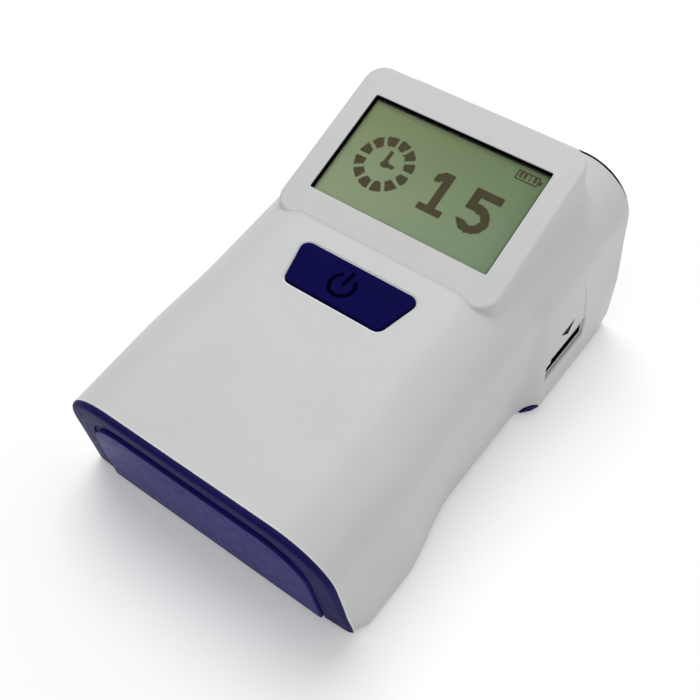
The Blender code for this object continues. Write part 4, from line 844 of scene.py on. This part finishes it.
def make_slot_collar(material):
    """The thin edge of the chute, sunk in the mouth below the slot and flush with the wall above it."""
    edge = np.array(slot_outline(0))
    front, rear = SLOT_FRONT - COLLAR_WALL, SLOT_REAR + COLLAR_WALL
    low, high = SLOT_LOW - COLLAR_WALL, SLOT_HIGH + MOUTH_MARGIN
    outside = np.array(((front, low), (rear, low), (rear, high), (edge[3][0], high), (front, high),
                        (front, edge[5][1])))
    rings = []
    for outline, sunk in ((edge, SKIN_THICKNESS), (edge, 0), (outside, 0), (outside, SKIN_THICKNESS)):
        lowness = 1 - ease(outline[:, 1], SLOT_LOW, SLOT_HIGH - SLOT_STEP_DROP)
        rings.append(on_wall(outline, sunk + COLLAR_DEPTH * lowness - COLLAR_FLUSH * (1 - lowness)))
    collar = dress("slot_collar", ring_mesh("slot_collar", rings + rings[:1], closed=False), material)


def make_slot_liner(material):
    """The dark stepped channel that carries the cassette in from the wall."""
    rings = [on_wall(slot_outline(inset), depth)
             for inset, depth in ((LINER_INSET, LINER_DEPTH), (LINER_INSET, LINER_REACH),
                                  (-LINER_WALL, LINER_REACH), (-LINER_WALL, LINER_DEPTH))]
    liner = ring_mesh("slot_liner", rings + rings[:1], closed=False)
    dress("slot_liner", liner, material)
    end = ring_mesh("slot_end", [on_wall(slot_outline(-LINER_WALL), LINER_REACH + depth)
                                 for depth in (0, LINER_WALL)])
    dress("slot_end", end, material)


def make_arrow(material):
    """The printed arrow over the slot that shows which way the cassette goes in."""
    first, second, third = np.array(ARROW)
    places = np.array([first + (second - first) * a + (third - first) * b
                       for a, b in ((0, 0), (0.5, 0), (1, 0), (0.5, 0.5), (0, 1), (0, 0.5))])
    points = on_wall(places, facet_depth(*places.T) - ARROW_LIFT)
    faces = ((0, 5, 1), (1, 5, 3), (1, 3, 2), (5, 4, 3))
    new_object("slot_arrow", points, faces, material)


def triangulate(places, edges, holes):
    """Anticlockwise triangles over flat places that keep to the edges and leave the holes open."""
    # Scaled up, as the triangulation works with absolute tolerances
    result = delaunay_2d_cdt([Vector(place) * 1000 for place in places], edges, [], 0, 1e-6)
    faces = np.array([[result[3][i][0] for i in face] for face in result[2]])
    corners = np.asarray(places)[faces]
    first, second = (corners[:, 1] - corners[:, 0]).T, (corners[:, 2] - corners[:, 0]).T
    clockwise = first[0] * second[1] < first[1] * second[0]
    faces[clockwise] = faces[clockwise][:, ::-1]
    middles = corners.mean(1)
    open_faces = np.zeros(len(faces), bool)
    for hole in holes:
        open_faces |= inside(middles, hole)
    return [[int(i) for i in face] for face in faces[~open_faces]]


def border_rank(place):
    """Order of a place along the unrolled shell's border, starting at the front left."""
    x, y = place
    half = UNROLLED[-1]
    if y <= 1e-9:
        return x + half
    if x >= half - 1e-9:
        return 2 * half + y
    if y >= SHELL_LENGTH - 1e-9:
        return 2 * half + SHELL_LENGTH + half - x
    return 4 * half + 2 * SHELL_LENGTH - y


def loop_edges(ids):
    ids = [int(i) for i in ids]
    return [(ids[i - 1], ids[i]) for i in range(len(ids))]


def inside(places, loop):
    """Which places lie inside a closed outline."""
    result = np.zeros(len(places), bool)
    for (x1, y1), (x2, y2) in zip(loop, np.roll(loop, -1, 0)):
        crosses = (y1 > places[:, 1]) != (y2 > places[:, 1])
        with np.errstate(divide="ignore", invalid="ignore"):
            at = (x2 - x1) * (places[:, 1] - y1) / (y2 - y1) + x1
        result ^= crosses & (places[:, 0] < at)
    return result


def nearest(places, loop):
    """Distance from each place to the closest of an outline's points."""
    best = np.full(len(places), 1.0)
    for point in loop:
        best = np.minimum(best, np.hypot(*(places - point).T))
    return best


# Front face, its cover and the rear rim

def leaning(outline, setback):
    """An outline across the front, set back from the leaning face."""
    x, z = np.asarray(outline).T
    return np.column_stack((x, GROUND_FRONT_Y - FACE_LEAN * z + setback, FOOT_STAND + z))


def make_cover(material):
    """The front bay's cover, a little proud of the face and rounded at its edge."""
    rings = [leaning(cover_half_round(0, 0), COVER_THICKNESS - COVER_PROUD)]
    for step in range(5):
        turn = math.pi / 2 * step / 4
        inset = COVER_EDGE * (1 - math.cos(turn))
        depth = -COVER_PROUD + COVER_EDGE * (1 - math.sin(turn))
        rings.append(leaning(cover_half_round(-inset, -inset), depth))
    cover = dress("cover_plate", ring_mesh("cover_plate", rings), material, "bay_cover")
    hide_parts("front_bay_cover")


def cover_half_round(grow_side, grow_top):
    """The cover's outline, rounded at its upper corners only."""
    half = COVER_HALF + grow_side
    top = COVER_HEIGHT + grow_top
    radius = COVER_CORNER + grow_side
    slope = math.atan2(COVER_SIDE_LEAN, COVER_HEIGHT)
    upper = half - COVER_SIDE_LEAN
    turns = np.linspace(slope, math.pi / 2, 16)
    centre_x = upper - radius * (1 - math.sin(slope)) / math.cos(slope)
    arc = np.column_stack((centre_x + radius * np.cos(turns), top - radius + radius * np.sin(turns)))
    right = np.concatenate((np.linspace((half, COVER_RAISE), arc[0], 8)[:-1], arc))
    return np.concatenate((right, right[::-1] * (-1, 1)))


def make_base(material):
    """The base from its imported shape, with a groove sunk round the cover."""
    shape = packed_shape("base_housing")
    fit_notch_tabs(shape)
    for vert in shape.verts:
        vert.co = soften_corners(*vert.co)
    base = dress("base_shell", finished(shape, "base_shell"), material, None)
    rings = []
    for grow, setback in ((GROOVE_SLOPE, -2 * GROOVE_DEPTH), (GROOVE_SLOPE, 0), (0, GROOVE_DEPTH)):
        outline = cover_half_round(GROOVE_SIDE + grow, GROOVE_TOP + grow)
        outline[:, 1] = np.where(outline[:, 1] <= COVER_RAISE, -GROOVE_TOP, outline[:, 1])
        rings.append(leaning(outline, setback))
    cut_away(base, ring_mesh("groove_form", rings))
    smooth(base.data, 30)
    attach(base, "reader")
    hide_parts("base_housing")


def fit_notch_tabs(shape):
    """Draws in the base's two tabs, which fill the shell's notches, to the size of the notches."""
    middle = GROUND_FRONT_Y + NOTCH_STATION
    tab = [v for v in shape.verts if abs(v.co.x) > TAB_LEAST_X and abs(v.co.y - middle) < TAB_MOST_LENGTH
           and v.co.z < TAB_MOST_HEIGHT]
    top = max(v.co.z for v in tab) - FOOT_STAND
    length = max(abs(v.co.y - middle) for v in tab)
    chord = math.sqrt(2 * NOTCH_RADIUS * NOTCH_HEIGHT - NOTCH_HEIGHT ** 2)
    for vert in tab:
        station = vert.co.y - GROUND_FRONT_Y
        height = vert.co.z - FOOT_STAND
        new_station = NOTCH_STATION + (station - NOTCH_STATION) * (chord - NOTCH_GAP / 2) / length
        new_height = height * (NOTCH_HEIGHT - NOTCH_GAP) / top
        shift = float(wall_x(new_station, new_height) - wall_x(station, height))
        vert.co = (math.copysign(abs(vert.co.x) + shift, vert.co.x),
                   GROUND_FRONT_Y + new_station, FOOT_STAND + new_height)


def make_rear_rim(material):
    """The dark rim of the rear panel, which shows over both rear shoulders."""
    count = 32
    for side, start, name in zip((-1, 1), REAR_RIM_STARTS, ("rear_rim_left", "rear_rim_right")):
        reach = np.linspace(start, REAR_RIM_END, count)
        share = REAR_RIM_WIDTH / SHELL_LENGTH * ease(reach, start, start + 0.05) \
            * (1 - 0.75 * ease(reach, REAR_RIM_TAPER, REAR_RIM_END))
        end = np.full(count, 1 - REAR_RIM_INSET / SHELL_LENGTH)
        rows = [skin(side * reach, where, depth=depth)
                for where, depth in ((end - share, -REAR_RIM_LIFT), (end, -REAR_RIM_LIFT),
                                     (end, SKIN_THICKNESS / 2), (end - share, SKIN_THICKNESS / 2))]
        ids = np.arange(4 * count).reshape(4, count)
        faces = [(ids[row - 1, i], ids[row - 1, i + 1], ids[row, i + 1], ids[row, i])
                 for row in (1, 2, 3, 0) for i in range(count - 1)]
        new_object(name, np.concatenate(rows), faces, material)


def make_rear_panel(material):
    """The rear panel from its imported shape, its outline drawn in below the shell's edge."""
    shape = packed_shape("rear_panel")
    height = max(v.co.z for v in shape.verts)
    half = max(abs(v.co.x) for v in shape.verts)
    for vert in shape.verts:
        across, up = np.clip((np.array((abs(vert.co.x) / half, vert.co.z / height)) - 0.6) / 0.4, 0, 1)
        vert.co.x -= math.copysign(REAR_PANEL_TRIM * across, vert.co.x)
        vert.co.z -= REAR_PANEL_TRIM * up
    panel = dress("rear_plate", finished(shape, "rear_plate"), material, smooth_deg=30)
    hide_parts("rear_panel")


# Display pieces

def make_lining(material):
    """The dark lining of the window's opening, under a thin lip of the housing."""
    outline = sheet_outline(WINDOW_WIDTH, WINDOW_DEPTH)
    inner = outline * (1 - 2 * LINING_THICKNESS / WINDOW_DEPTH)
    outer = outline * (1 + LINING_THICKNESS / WINDOW_DEPTH)
    rings = [raised(outer, -LINING_DEPTH), raised(outer, -LIP_DEPTH),
             raised(inner, -LIP_DEPTH), raised(inner, -LINING_DEPTH)]
    mesh = ring_mesh("window_lining", rings + rings[:1], closed=False)
    dress("window_lining", mesh, material, matrix=DISPLAY)


def make_pane(material):
    outline = sheet_outline(WINDOW_WIDTH, WINDOW_DEPTH)
    heights = (-PANE_DEPTH - PANE_THICKNESS, -PANE_DEPTH)
    mesh = ring_mesh("window_pane", [raised(outline, height) for height in heights])
    pane = dress("window_pane", mesh, material, matrix=DISPLAY)
    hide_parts("display_window")


def make_lcd(face_material, mark_material):
    outline = sheet_outline(LCD_WIDTH, LCD_HEIGHT)
    mesh = ring_mesh("lcd_face", [raised(outline, -LCD_DEPTH - LCD_THICKNESS), raised(outline, -LCD_DEPTH)])
    face = dress("lcd_face", mesh, face_material, matrix=DISPLAY)
    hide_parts("lcd_panel")
    make_lcd_marks(mark_material)


def make_lcd_marks(material):
    """The dark cells of the display: a ring timer, a two-figure countdown and a battery sign."""
    columns, rows = int(LCD_ACTIVE_WIDTH / LCD_PITCH), int(LCD_ACTIVE_HEIGHT / LCD_PITCH)
    points = []
    half = LCD_PITCH * 0.47
    for row in range(rows):
        for column in range(columns):
            x = (column + 0.5 - columns / 2) * LCD_PITCH
            y = (row + 0.5 - rows / 2) * LCD_PITCH
            if lcd_is_dark(x * 1000, y * 1000):
                points += [(x + across * half, y + up * half, -LCD_DEPTH + MARK_LIFT)
                           for across, up in ((-1, -1), (1, -1), (1, 1), (-1, 1))]
    faces = np.arange(len(points)).reshape(-1, 4)
    return new_object("lcd_marks", points, faces, material, matrix=DISPLAY)


def lcd_is_dark(x, y):
    """Whether the display's cell at a place, in millimetres, is dark."""
    return in_timer(x + 14.4, y + 0.6) or in_one(x - 3.4, y + 1.5) or in_five(x - 16.2, y + 1.5) \
        or in_battery(x - 22.4, y - 13.4)


def in_timer(x, y):
    radius = math.hypot(x, y)
    turn = math.degrees(math.atan2(x, y)) % 30
    gap = 1.0 / max(radius, 0.1) * 28.6
    hand = abs(x) < 0.7 and 0 < y < 4.2 or abs(y) < 0.7 and 0 < x < 3.0 or radius < 1.2
    return 5.6 < radius < 8.7 and gap < turn < 30 - gap or hand


def in_one(x, y):
    stem = abs(x - 0.8) < 1.4 and abs(y) < 6.6
    flag = 2.6 < y < 6.6 and -3.0 < x < 0.8 and abs(y - 5.2 - 0.75 * (x + 0.6)) < 1.6
    foot = -6.6 < y < -4.2 and -3.0 < x < 4.6
    return stem or flag or foot


def in_five(x, y):
    top = 4.1 < y < 6.6 and -4.2 < x < 4.2
    side = -0.2 < y < 6.6 and -4.2 < x < -1.5
    reach = math.hypot(x + 0.2, (y + 2.3) * 1.02)
    bowl = 1.95 < reach < 4.5 and not (x < -0.6 and -3.6 < y < 1.0)
    upper = -0.2 < y < 2.2 and -4.2 < x < 0.4
    return top or side or bowl or upper


def in_battery(x, y):
    shell = abs(x) < 3.3 and abs(y) < 1.45 and not (abs(x) < 2.9 and abs(y) < 1.05)
    knob = 3.3 < x < 3.9 and abs(y) < 0.6
    bars = abs(y) < 0.7 and -2.5 < x < 2.6 and (x + 2.5) % 1.3 < 0.8
    return shell or knob or bars


# Power button

def make_button(button_material, ink):
    """The button's cap with its soft edge and the engraved standby sign."""
    outline, normals = rounded_polygon(button_corners(0), BUTTON_CORNER, 0.0012, 10)
    rings = [raised(outline, -BUTTON_BODY)]
    for step in range(7):
        turn = math.pi / 2 * step / 6
        inset = outline - normals * BUTTON_EDGE * (1 - math.cos(turn))
        rings.append(raised(inset, BUTTON_PROUD - BUTTON_EDGE * (1 - math.sin(turn))))
    cap = dress("button_cap", ring_mesh("button_cap", rings), button_material, None, matrix=DECK)
    low, high = BUTTON_PROUD - ICON_DEPTH, BUTTON_PROUD
    cut_away(cap, icon_ring(low, high + ICON_DEPTH), icon_bar(low, high + ICON_DEPTH))
    smooth(cap.data, 25)
    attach(cap, "button")
    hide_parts("power_button")
    for make_sign, name in ((icon_ring, "icon_ring"), (icon_bar, "icon_bar")):
        paint = dress(name, make_sign(low, low + ICON_PAINT), ink, "button", matrix=DECK)


def icon_ring(low, high):
    """The standby sign's open ring, between two heights."""
    turns = np.linspace(math.pi / 2 + ICON_GAP, 2.5 * math.pi - ICON_GAP, 41)
    arc = np.column_stack((np.cos(turns), np.sin(turns)))
    return icon_solid("icon_ring", [*ICON_RADIUS * arc, *(ICON_RADIUS - ICON_STROKE) * arc[::-1]], low, high)


def icon_bar(low, high):
    half = ICON_STROKE / 2
    return icon_solid("icon_bar", box_corners(-half, half, 0, ICON_BAR_TOP), low, high)


def icon_solid(name, outline, low, high):
    turn = Matrix.Translation((ICON_X, ICON_HEIGHT, low)) @ Matrix.Rotation(ICON_TURN, 4, "Z")
    shape = bmesh.new()
    face = shape.faces.new([shape.verts.new(turn @ Vector((*place, 0))) for place in outline])
    grown = bmesh.ops.extrude_face_region(shape, geom=[face])
    moved = [item for item in grown["geom"] if isinstance(item, bmesh.types.BMVert)]
    bmesh.ops.translate(shape, vec=(0, 0, high - low), verts=moved)
    bmesh.ops.recalc_face_normals(shape, faces=shape.faces)
    return finished(shape, name)


# Materials

def feed(made, inputs):
    """Sets a node's sockets, by name or number, to values or to what other sockets give."""
    for key, value in inputs.items():
        socket = made.inputs[key]
        if isinstance(value, bpy.types.NodeSocket):
            made.id_data.links.new(value, socket)
        else:
            socket.default_value = (*value, 1) if socket.type == "RGBA" else value


def node(tree, kind, inputs=(), **settings):
    """Adds a node and gives its outputs."""
    made = tree.nodes.new(kind)
    for key, value in settings.items():
        setattr(made, key, value)
    feed(made, dict(inputs))
    return made.outputs


def make_material(name):
    """A material, its tree and shader, and the piece's own coordinates in it."""
    material = bpy.data.materials.new(name)
    material.use_nodes = True
    tree = material.node_tree
    return material, tree, tree.nodes["Principled BSDF"], node(tree, "ShaderNodeTexCoord")["Object"]


def noise(tree, place, scale, detail=2.0, roughness=0.5):
    return node(tree, "ShaderNodeTexNoise", {"Vector": place, "Scale": scale, "Detail": detail,
                                             "Roughness": roughness})["Fac"]


def spread(tree, value, low, high, from_low=0.0, from_high=1.0):
    return node(tree, "ShaderNodeMapRange", {"Value": value, "From Min": from_low, "From Max": from_high,
                                             "To Min": low, "To Max": high})["Result"]


def blend(tree, share, first, second, kind="MIX"):
    """Mixes two colours, which are the node's sockets 6 and 7."""
    return node(tree, "ShaderNodeMix", {0: share, 6: first, 7: second}, data_type="RGBA", blend_type=kind)[2]


def calculate(tree, operation, first, second, **settings):
    return node(tree, "ShaderNodeMath", {0: first, 1: second}, operation=operation, **settings)["Value"]


def moulded(name, colour, roughness, grain=2600, depth=0.000012, variation=0.03, wear_and_highlight=0.25,
            edge=0.00025, specular=0.5, grazing=None, lift=0.25, corner_shade=None, painted_shade=None):
    """Moulded plastic: fine spark-eroded grain, slight mottle and edges made a little paler, by wear and by a
    painted highlight.

    Grazing is the specular level towards the outline, lift how pale the worn and highlighted edges are,
    the corner shade how dark the painted shade in corners and creases is, and the painted shade the colour
    where the mesh is marked for painted shade; edges marked there get a painted highlight.
    """
    material, tree, shader, place = make_material(name)
    rounded = node(tree, "ShaderNodeBevel", {"Radius": edge}, samples=4)["Normal"]
    bump = node(tree, "ShaderNodeBump", {"Strength": 1.0, "Distance": depth, "Normal": rounded,
                                         "Height": noise(tree, place, grain, 3.0, 0.6)})
    # Edges show where the rounded normal leaves the true one; there the colour is made paler, as wear and as a
    # painted highlight
    true = node(tree, "ShaderNodeNewGeometry")["Normal"]
    agreement = node(tree, "ShaderNodeVectorMath", {0: rounded, 1: true}, operation="DOT_PRODUCT")["Value"]
    rubbed_and_highlit = spread(tree, agreement, wear_and_highlight, 0.0, 0.80, 0.99)
    darker, lighter = [tuple(c * share for c in colour) for share in (1 - variation, 1 + variation)]
    paler = tuple(mix(c, PALE, lift) for c in colour)
    mottled = blend(tree, spread(tree, noise(tree, place, 45, 3.0), 0, 1, 0.35, 0.65), darker, lighter)
    final = blend(tree, rubbed_and_highlit, mottled, paler)
    # Painted shade: the colour is darkened where the surface is enclosed, in corners, creases and recesses
    if corner_shade is not None:
        free = node(tree, "ShaderNodeAmbientOcclusion", {"Distance": 0.004}, samples=6, only_local=True)["AO"]
        dimmed = tuple(c * corner_shade for c in colour)
        final = blend(tree, spread(tree, free, 0, 1, 0.25, 0.80), dimmed, final)
    # Painted shade and a painted highlight, from shares marked on the mesh's points
    if painted_shade is not None:
        for mark, shade in (("painted_shade", painted_shade), ("rubbed_and_highlit", (PALE, PALE, PALE))):
            share = node(tree, "ShaderNodeAttribute", attribute_name=mark)["Fac"]
            final = blend(tree, share, final, shade)
    if grazing is not None:
        facing = node(tree, "ShaderNodeLayerWeight")["Facing"]
        specular = spread(tree, facing, specular, grazing, 0.35, 0.75)
    feed(shader, {"Normal": bump["Normal"], "Base Color": final, "Specular IOR Level": specular,
                  "Roughness": spread(tree, noise(tree, place, 420), roughness - 0.05, roughness + 0.05,
                                      0.3, 0.7)})
    return material


def metal(name, colour, roughness):
    """Machined or plated metal with fine scratches and a little uneven sheen."""
    material, tree, shader, place = make_material(name)
    drawn_out = node(tree, "ShaderNodeMapping", {"Vector": place, "Scale": (1, 1, 0.15)})["Vector"]
    bump = node(tree, "ShaderNodeBump", {"Distance": 0.00001, "Height": noise(tree, drawn_out, 1800, 3.0)})
    patch = noise(tree, place, 300)
    feed(shader, {"Normal": bump["Normal"], "Metallic": 1.0,
                  "Base Color": blend(tree, patch, tuple(c * 0.85 for c in colour), colour),
                  "Roughness": spread(tree, patch, roughness - 0.06, roughness + 0.08)})
    return material


def circuit_board(name):
    """Green solder mask with copper tracks showing through as a fine raster."""
    material, tree, shader, place = make_material(name)
    tracks = node(tree, "ShaderNodeTexBrick",
                  {"Vector": place, "Scale": 260, "Mortar Size": 0.06, "Color1": (0.010, 0.085, 0.032),
                   "Color2": (0.012, 0.100, 0.040), "Mortar": (0.045, 0.170, 0.060)})
    bump = node(tree, "ShaderNodeBump", {"Distance": 0.00002, "Height": tracks["Fac"]})
    feed(shader, {"Base Color": tracks["Color"], "Normal": bump["Normal"],
                  "Roughness": spread(tree, noise(tree, place, 200), 0.3, 0.45)})
    return material


def lcd_glass(name):
    """The panel's lit green face with its darker edges, framed in black."""
    material, tree, shader, place = make_material(name)
    parts = node(tree, "ShaderNodeSeparateXYZ", {"Vector": place})
    right = spread(tree, parts["X"], 0, 1, -WINDOW_WIDTH / 2, WINDOW_WIDTH / 2)
    high = spread(tree, parts["Y"], 0, 1, -WINDOW_DEPTH / 2, WINDOW_DEPTH / 2)
    field = blend(tree, high, blend(tree, right, LCD_LOW_LEFT, LCD_LOW_RIGHT),
                  blend(tree, right, LCD_HIGH_LEFT, LCD_HIGH_RIGHT))
    cloud = blend(tree, noise(tree, place, 120, 3.0), (0.93, 0.93, 0.93), (1, 1, 1))
    # The fine raster of the display's cells
    cells = node(tree, "ShaderNodeTexBrick",
                 {"Vector": place, "Scale": 1.0, "Brick Width": LCD_PITCH, "Row Height": LCD_PITCH,
                  "Mortar Size": LCD_PITCH * 0.06, "Color1": (1, 1, 1), "Color2": (1, 1, 1),
                  "Mortar": (0.90, 0.90, 0.90)}, offset=0.0)["Color"]
    rastered = blend(tree, 1.0, blend(tree, 1.0, field, cloud, "MULTIPLY"), cells, "MULTIPLY")
    size = node(tree, "ShaderNodeVectorMath", {0: place}, operation="ABSOLUTE")["Vector"]
    reach = node(tree, "ShaderNodeSeparateXYZ", {"Vector": size})
    past = [calculate(tree, "GREATER_THAN", reach[axis], limit)
            for axis, limit in (("X", LCD_ACTIVE_WIDTH / 2), ("Y", LCD_ACTIVE_HEIGHT / 2))]
    feed(shader, {"Base Color": blend(tree, calculate(tree, "MAXIMUM", *past), rastered, (0.008, 0.008, 0.008)),
                  "Roughness": spread(tree, noise(tree, place, 900), 0.42, 0.50),
                  "Specular IOR Level": 0.05})
    return material


def clear_window(name):
    """Thin clear pane with a faint, uneven sheen."""
    material, tree, shader, place = make_material(name)
    haze = noise(tree, place, 60, 3.0)
    feed(shader, {"Roughness": spread(tree, haze, 0.10, 0.20), "Alpha": 0.06,
                  "Base Color": blend(tree, haze, (0.02, 0.03, 0.02), (0.04, 0.05, 0.04))})
    return material


def make_materials():
    return {
        # The shell's strongly paled edges are mostly a painted highlight, and its darkened corners and marked
        # places are painted shade
        "shell": moulded("shell_white", (0.640, 0.650, 0.648), 0.44, variation=0.012, wear_and_highlight=1.0,
                         edge=0.00035, specular=0.25, lift=0.9, corner_shade=0.45,
                         painted_shade=(0.075, 0.076, 0.078)),
        # The base's paler edges are partly a painted highlight along the groove's rim, and its darkened corners
        # painted shade
        "base": moulded("base_blue", (0.013, 0.010, 0.098), 0.45, grain=1900, variation=0.05, wear_and_highlight=0.60,
                        lift=0.12, specular=0.02, grazing=0.03, corner_shade=0.5),
        # The cover's blue is the base's blue painted lighter, standing in for the extra light its face catches
        # from the front
        "cover": moulded("cover_blue_painted_lighter", (0.021, 0.0195, 0.180), 0.42, grain=1900, variation=0.05, wear_and_highlight=0.20,
                         lift=0.12, specular=0.03, grazing=0.07, corner_shade=0.7),
        "button": moulded("button_blue", (0.0042, 0.0038, 0.066), 0.50, grain=2400, variation=0.08,
                          wear_and_highlight=0.0, specular=0.01),
        "icon": moulded("icon_ink", (0.0008, 0.0008, 0.014), 0.60, variation=0.08, wear_and_highlight=0.0,
                        specular=0.0),
        "ink": moulded("arrow_ink", (0.003, 0.0035, 0.005), 0.60, variation=0.15, wear_and_highlight=0.0,
                       specular=0.05),
        "marks": moulded("lcd_cells", (0.056, 0.039, 0.003), 0.50, variation=0.12, wear_and_highlight=0.0,
                         specular=0.05),
        "black": moulded("black_plastic", (0.014, 0.014, 0.015), 0.48, variation=0.10, wear_and_highlight=0.10),
        "lining": moulded("lining_black", (0.0015, 0.0015, 0.0018), 0.60, variation=0.10, wear_and_highlight=0.0,
                          specular=0.02),
        "rubber": moulded("rubber_black", (0.020, 0.020, 0.020), 0.80, grain=1500, depth=0.00003,
                          variation=0.20, wear_and_highlight=0.0, specular=0.25),
        "board": circuit_board("board_green"),
        "steel": metal("steel", (0.60, 0.60, 0.61), 0.30),
        "lcd": lcd_glass("lcd_face"),
        "window": clear_window("clear_lens"),
        "guide": moulded("light_guide", (0.80, 0.82, 0.80), 0.35, variation=0.02, wear_and_highlight=0.0),
        "wrap": moulded("battery_wrap", (0.030, 0.070, 0.130), 0.42, grain=900, depth=0.00004,
                        variation=0.12, wear_and_highlight=0.05),
        "amber": moulded("led_amber", (0.85, 0.62, 0.25), 0.25, variation=0.05, wear_and_highlight=0.0),
        "flex": moulded("flex_orange", (0.45, 0.20, 0.04), 0.40, variation=0.10, wear_and_highlight=0.0),
    }


FINISHES = {
    "base": "base_housing rear_panel front_bay_cover",
    "black": "power_jack display_frame button_switch cassette_chute optics_hood image_sensor lens_barrel "
             "cassette_switch processor_chip buzzer",
    "board": "key_board optics_board main_board",
    "steel": "switch_plunger switch_lever data_socket case_screw_front_left case_screw_front_right "
             "case_screw_rear_left case_screw_rear_right",
    "rubber": "foot_front_left foot_front_right foot_rear_left foot_rear_right",
    "amber": "reader_led_left reader_led_right", "shell": "top_housing", "button": "power_button",
    "window": "display_window", "lcd": "lcd_panel", "guide": "lcd_backlight", "flex": "display_flex",
    "wrap": "battery_pack",
}


def dress_nodes(materials):
    """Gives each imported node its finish, and smooth shading between its sharp edges."""
    kinds = {name: kind for kind, names in FINISHES.items() for name in names.split()}
    for name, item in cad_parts.items():
        kind = kinds[name]
        item.data.materials.clear()
        item.data.materials.append(materials[kind])
        if "custom_normal" in item.data.attributes:
            item.data.attributes.remove(item.data.attributes["custom_normal"])
        item.data.shade_smooth()
        weld = item.modifiers.new("weld", "WELD")
        weld.merge_threshold = WELD
        split = item.modifiers.new("sharp_edges", "EDGE_SPLIT")
        split.split_angle = math.radians(32)


# Camera, lights and floor

def make_camera():
    back = Vector((math.sin(CAMERA_AZIMUTH) * math.cos(CAMERA_ELEVATION),
                   -math.cos(CAMERA_AZIMUTH) * math.cos(CAMERA_ELEVATION), math.sin(CAMERA_ELEVATION)))
    right = Vector((0, 0, 1)).cross(back).normalized()
    up = back.cross(right)
    roll_right = math.cos(CAMERA_ROLL) * right + math.sin(CAMERA_ROLL) * up
    roll_up = math.cos(CAMERA_ROLL) * up - math.sin(CAMERA_ROLL) * right
    camera = linked("camera", bpy.data.cameras.new("camera"))
    matrix = Matrix((roll_right, roll_up, back)).transposed().to_4x4()
    matrix.translation = CAMERA_TARGET + back * CAMERA_DISTANCE
    camera.matrix_world = matrix
    camera.data.sensor_width = SENSOR_WIDTH
    camera.data.lens = FOCAL_PIXELS * SENSOR_WIDTH / IMAGE_SIDE
    camera.data.clip_start = 0.01
    bpy.context.scene.camera = camera


def area_light(name, place, target, size, power):
    data = bpy.data.lights.new(name, "AREA")
    data.shape = "DISK"
    data.size = size
    data.energy = power
    lamp = linked(name, data)
    lamp.location = place
    lamp.rotation_euler = (Vector(target) - Vector(place)).to_track_quat("-Z", "Y").to_euler()


def shown_rays(tree):
    """One for rays from the camera, off gloss and through glass, which all see the background."""
    path = node(tree, "ShaderNodeLightPath")
    total = path["Is Camera Ray"]
    for kind in ("Is Glossy Ray", "Is Transmission Ray"):
        total = calculate(tree, "ADD", total, path[kind], use_clamp=True)
    return total


def make_floor():
    shape = bmesh.new()
    bmesh.ops.create_grid(shape, x_segments=2, y_segments=2, size=2.5)
    floor = linked("floor", finished(shape, "floor"))
    material, tree, shader, _ = make_material("pale_floor")
    feed(shader, {"Base Color": (0.93, 0.93, 0.93), "Roughness": 0.9, "Specular IOR Level": 0.1})
    glow = node(tree, "ShaderNodeEmission", {"Strength": calculate(tree, "MULTIPLY", shown_rays(tree), 0.22)})
    both = node(tree, "ShaderNodeAddShader", {0: shader.outputs["BSDF"], 1: glow["Emission"]})
    feed(tree.nodes["Material Output"], {"Surface": both["Shader"]})
    floor.data.materials.append(material)


def make_world():
    world = bpy.data.worlds.new("studio")
    world.use_nodes = True
    tree = world.node_tree
    ground = tree.nodes["Background"]
    feed(ground, {"Color": (1, 1, 1), "Strength": 0.42})
    white = node(tree, "ShaderNodeBackground", {"Strength": 1.0})
    chosen = node(tree, "ShaderNodeMixShader", {"Fac": shown_rays(tree), 1: ground.outputs["Background"],
                                                2: white["Background"]})
    feed(tree.nodes["World Output"], {"Surface": chosen["Shader"]})
    bpy.context.scene.world = world


def make_lights():
    area_light("key", (-0.30, 0.26, 1.00), (0, 0, 0.03), 0.75, 5.6)
    area_light("fill", (0.85, 0.05, 0.40), (0, 0, 0.03), 0.60, 1.2)


def main():
    bpy.context.scene.view_settings.view_transform = "Standard"
    materials = make_materials()
    dress_nodes(materials)
    make_top_housing(materials["shell"])
    make_slot_collar(materials["shell"])
    make_slot_liner(materials["lining"])
    make_arrow(materials["ink"])
    make_base(materials["base"])
    make_cover(materials["cover"])
    make_rear_rim(materials["lining"])
    make_rear_panel(materials["base"])
    make_lining(materials["lining"])
    make_pane(materials["window"])
    make_lcd(materials["lcd"], materials["marks"])
    make_button(materials["button"], materials["icon"])
    make_camera()
    make_lights()
    make_world()
    make_floor()


main()
